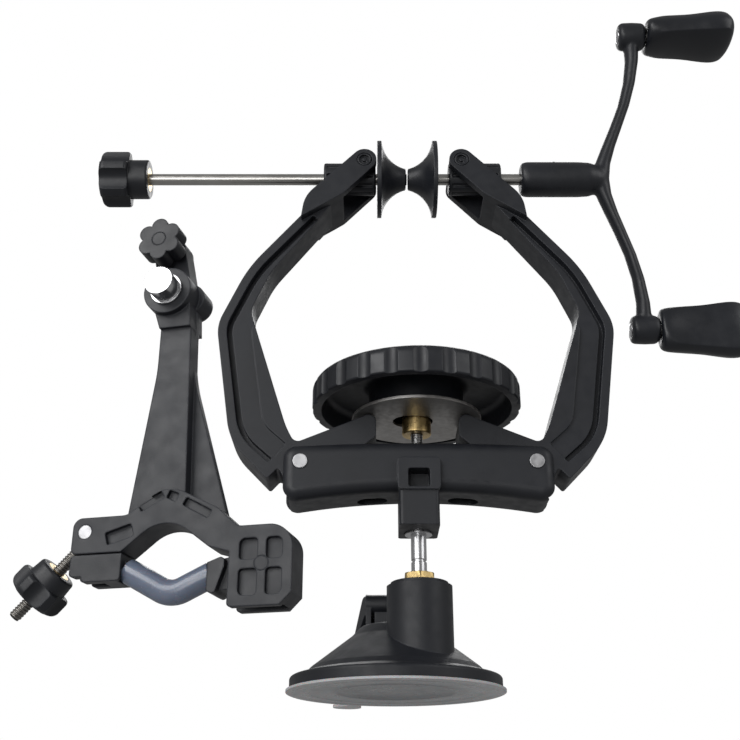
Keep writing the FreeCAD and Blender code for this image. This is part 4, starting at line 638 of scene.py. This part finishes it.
upper_arm, lower_arm = crank_arm(), crank_arm()
lower_arm.data.transform(Matrix.Scale(-1, 4, (0, 0, 1)))
lower_arm.data.flip_normals()
handle = joined(laid(raised(HUB, 48), (0, 0, 0), (1, 0, 0)), upper_arm, lower_arm)
remesh = handle.modifiers.new("one_moulding", "REMESH")
remesh.mode = "VOXEL"
remesh.voxel_size = MOULD_VOXEL * MM
bpy.ops.object.modifier_apply(modifier=remesh.name)
fillet = handle.modifiers.new("fillet", "SMOOTH")
fillet.factor = 0.5
fillet.iterations = FILLET_PASSES
bpy.ops.object.modifier_apply(modifier=fillet.name)
hub_axis = Vector((post_axis.x, *pivot("crank_spin").yz))
handle.data.transform(Matrix.Translation(hub_axis * MM) @ Matrix.Rotation(math.radians(CRANK_LEAN), 4, "X"))
crank_plastic = charcoal_plastic("crank_plastic", 0.95, 0.05)
dressed(handle, "crank_moulding", crank_plastic, "crank", ["crank_handle"], sharp=60)
finish_with(post_steel, "crank_set_screw")
rivet_start = hub_axis.x + EYELET_START - RIVET_HEAD
rivets = [laid(raised(RIVET_DOME + RIVET_SHANK, 40), (rivet_start, *pivot(f"{name}_grip_spin").yz), (1, 0, 0))
          for name in ("upper", "lower")]
rivet_steel = turned_steel("rivet_steel", "x", (0.62, 0.62, 0.63), 0.3)
dressed(joined(*rivets), "grip_rivets", rivet_steel, "crank", ["grip_axles"])


# ---- paddle grips ----
# Moulded paddles that spin on the rivets. Two broad faces, slightly crowned, meet the narrow side
# bands in crisp rims that fade out at the neck; the end is rounded.

GRIP_GAP = 0.4
GRIP_LENGTH = 39.5
GRIP_WIDTH = 13.0
GRIP_DEPTH = 7.6
GRIP_BORE = 2.3
GRIP_SEAT = 14.3
GRIP_ROLLS = {"upper": 88, "lower": 0}
# each section's place along the grip, its width and its depth, as shares of the grip's sizes
GRIP_SHAPE = ((0, 0.62, 0.70), (0.02, 0.76, 0.88), (0.1, 0.81, 0.92), (0.25, 0.82, 0.86),
              (0.45, 0.86, 0.84), (0.62, 0.94, 0.91), (0.78, 1.01, 0.99), (0.9, 0.98, 0.93),
              (0.965, 0.85, 0.76), (0.995, 0.56, 0.45), (1, 0.22, 0.17))
# how far each corner of a section's quarter is drawn out across and through, from side to face
GRIP_QUARTER = ((1.0, 1.0), (1.04, 0.9), (1.22, 1.0), (1.3, 0.93), (1.0, 0.92))
QUARTER_STEP = 22.5
RIM_FROM = 0.08 * GRIP_LENGTH
RIM_TO = 0.97 * GRIP_LENGTH
RIM_LEANS = (30, 52)
grip_plastic = charcoal_plastic("grip_plastic", 0.9, 0.14)


def paddle():
    """One grip up the Z axis, broad across X, with the bore for its axle."""
    bore = [(GRIP_BORE, GRIP_BORE, GRIP_SEAT), (GRIP_BORE, GRIP_BORE, 0)]
    rings = [(GRIP_WIDTH * wide, GRIP_DEPTH * deep, GRIP_LENGTH * along) for along, wide, deep in GRIP_SHAPE]
    grip = raised(bore + rings, 16)

    def lean(spot):
        """How far round its section a point lies, in degrees from the side band to the face."""
        wide, deep, _ = min(rings, key=lambda ring: abs(ring[2] - spot.z))
        return math.degrees(math.atan2(abs(spot.y) / deep, abs(spot.x) / wide))

    def is_rim(start, end):
        """Whether an edge runs along one of the rims, clear of the neck and the end."""
        low, high = sorted((start.z, end.z))
        if high - low < 0.5 or not RIM_FROM < low < high < RIM_TO:
            return False
        return RIM_LEANS[0] < lean(start) < RIM_LEANS[1] and start.xy.length > 3

    for vertex in grip.data.vertices:
        spot = vertex.co / MM
        if spot.xy.length < GRIP_BORE + 0.2 and spot.z < GRIP_SEAT + 0.7:
            continue
        across, through = GRIP_QUARTER[round(lean(spot) / QUARTER_STEP)]
        strength = min(1.0, max(0.0, (spot.z - 1) / 6)) * min(1.0, max(0.0, (GRIP_LENGTH - spot.z) / 3))
        vertex.co.x *= 1 + (across - 1) * strength
        vertex.co.y *= 1 + (through - 1) * strength
    picked(grip, edges=is_rim)
    bpy.ops.transform.edge_crease(value=0.8)
    bpy.ops.mesh.select_all(action="DESELECT")
    bpy.ops.object.mode_set(mode="OBJECT")
    round_off = grip.modifiers.new("round_off", "SUBSURF")
    round_off.levels = 3
    round_off.render_levels = 3
    bpy.ops.object.modifier_apply(modifier=round_off.name)
    return grip


neck = hub_axis.x + EYELET_START + EYELET_WIDTH + GRIP_GAP
for name, roll in GRIP_ROLLS.items():
    grip = laid(paddle(), (neck, *pivot(f"{name}_grip_spin").yz), (1, 0, 0), roll)
    dressed(grip, f"{name}_paddle_grip", grip_plastic, f"{name}_paddle",
            [f"{name}_grip"], sharp=50)


# ---- rod clamp: frame, stub and jaw ----
# A ribbed column moulded with the upper jaw and a pierced box. The lower jaw hinges in the box. A
# chrome stub with a ring is pressed into the boss at the top.

finish_with(charcoal_plastic("clamp_plastic", 1.05), "clamp_frame", "jaw_hinge_pin")
finish_with(charcoal_plastic("jaw_plastic", 0.9, 0.03), "clamp_jaw")
stub_chrome = turned_steel("stub_chrome", "y", (0.56, 0.56, 0.57), 0.20, 500)
finish_with(stub_chrome, "clamp_stub", "stub_ring")


# ---- jaw sleeve ----
# A length of blue-grey silicone tube pushed over the jaw's round tongue, which bends it once.
# Glossy, with a little light in its wall.

CLAMP_SPOT = (-53.8, -157.5, 0)
CLAMP_TURN = -13.7
SLEEVE_RADIUS = 3.2
SLEEVE_WALL = 1.3
SLEEVE_BEND = 6.4
SLEEVE_LIP = 0.3
SLEEVE_LEFT = Vector((-17.6, 0, 11.3))
SLEEVE_LOW = Vector((-5.2, 0, 4.4))
SLEEVE_RIGHT = Vector((5.3, 0, 9.2))
sleeve_silicone, tree, rubber = plain_shader("sleeve_silicone")
haze = graded(tree, grain(tree, 60, 5), (0.090, 0.108, 0.150), (0.120, 0.140, 0.190))
tree.links.new(haze, rubber.inputs["Base Color"])
tree.links.new(graded(tree, grain(tree, 240), 0.18, 0.30), rubber.inputs["Roughness"])
tree.links.new(dented(tree, grain(tree, 320), 0.00006, 0.5), rubber.inputs["Normal"])
rubber.inputs["Subsurface Weight"].default_value = 0.2
rubber.inputs["Subsurface Scale"].default_value = 0.002

down = (SLEEVE_LOW - SLEEVE_LEFT).normalized()
up = (SLEEVE_RIGHT - SLEEVE_LOW).normalized()
bend = down.angle(up)
run = SLEEVE_BEND * math.tan(bend / 2)
bend_start = SLEEVE_LOW - down * run
bend_end = SLEEVE_LOW + up * run
bend_middle = SLEEVE_LOW + (up - down).normalized() * (SLEEVE_BEND / math.cos(bend / 2))
bpy.ops.object.select_all(action="DESELECT")
bpy.ops.mesh.primitive_circle_add(vertices=40, radius=SLEEVE_RADIUS * MM)
sleeve = laid(bpy.context.object, SLEEVE_LEFT, down)
bpy.ops.object.mode_set(mode="EDIT")
bpy.ops.mesh.select_mode(type="VERT")
bpy.ops.mesh.select_all(action="SELECT")
bpy.ops.mesh.extrude_region_move(TRANSFORM_OT_translate={"value": (bend_start - SLEEVE_LEFT) * MM})
bpy.ops.mesh.spin(steps=14, angle=bend, center=bend_middle * MM, axis=(0, 1, 0))
bpy.ops.mesh.extrude_region_move(TRANSFORM_OT_translate={"value": (SLEEVE_RIGHT - bend_end) * MM})
closed(sleeve)
wall = sleeve.modifiers.new("wall", "SOLIDIFY")
wall.thickness = SLEEVE_WALL * MM
wall.offset = -1
bpy.ops.object.modifier_apply(modifier=wall.name)
lip = sleeve.modifiers.new("lip", "BEVEL")
lip.width = SLEEVE_LIP * MM
lip.segments = 3
lip.angle_limit = math.radians(60)
bpy.ops.object.modifier_apply(modifier=lip.name)
laid(sleeve, CLAMP_SPOT, (0, 0, 1), CLAMP_TURN)
dressed(sleeve, "jaw_tube", sleeve_silicone, "lower_jaw", ["jaw_sleeve"], sharp=45)


# ---- swing bolt with its knob ----
# A steel eye bolt swings on a pin in the upper jaw and drops into the lower one. A lobed knob on a
# brass nut closes the jaw.

EYE_WIDTH = 3.4
EYE_BORE = 1.85
EYE_RIM = [(3.1, 0), (3.4, 0.3), (3.4, EYE_WIDTH - 0.3), (3.1, EYE_WIDTH)]
SHANK_START = 2.4
SHANK_RADIUS = 1.6
SHANK_THREAD = 0.26
SHANK_PITCH = 0.8
SHANK_LENGTH = 25.6
SHANK_LEAD = 0.6
finish_with(cross_pin_steel, "bolt_pin")
finish_with(insert_brass, "knob_nut")
finish_with(charcoal_plastic("bolt_knob_plastic", 0.85), "bolt_knob")
bolt_pin = pivot("bolt_swing")
pin_way = Vector(joints["bolt_swing"]["axis"])
bolt_way = Vector(joints["nut_travel"]["axis"])
eye_ring = raised([(EYE_BORE, 0), *EYE_RIM, (EYE_BORE, EYE_WIDTH), (EYE_BORE, 0)], 40, bored=True)
laid(eye_ring, bolt_pin - pin_way * EYE_WIDTH / 2, pin_way)
shank = threaded(SHANK_RADIUS, SHANK_THREAD, SHANK_PITCH, SHANK_LENGTH, SHANK_LEAD)
laid(shank, bolt_pin + bolt_way * SHANK_START, bolt_way)
bolt_steel = turned_steel("bolt_steel", "z", (0.22, 0.21, 0.195), 0.34)
dressed(joined(eye_ring, shank), "clamp_bolt", bolt_steel, "eye_bolt", ["swing_bolt"])


# ---- star knob ----
# A six-pointed plastic knob moulded over the head of the screw that pinches the stub when the
# knob is turned.

finish_with(charcoal_plastic("star_plastic", 0.85, 0.03), "star_knob", "star_screw")

bpy.context.view_layer.update()
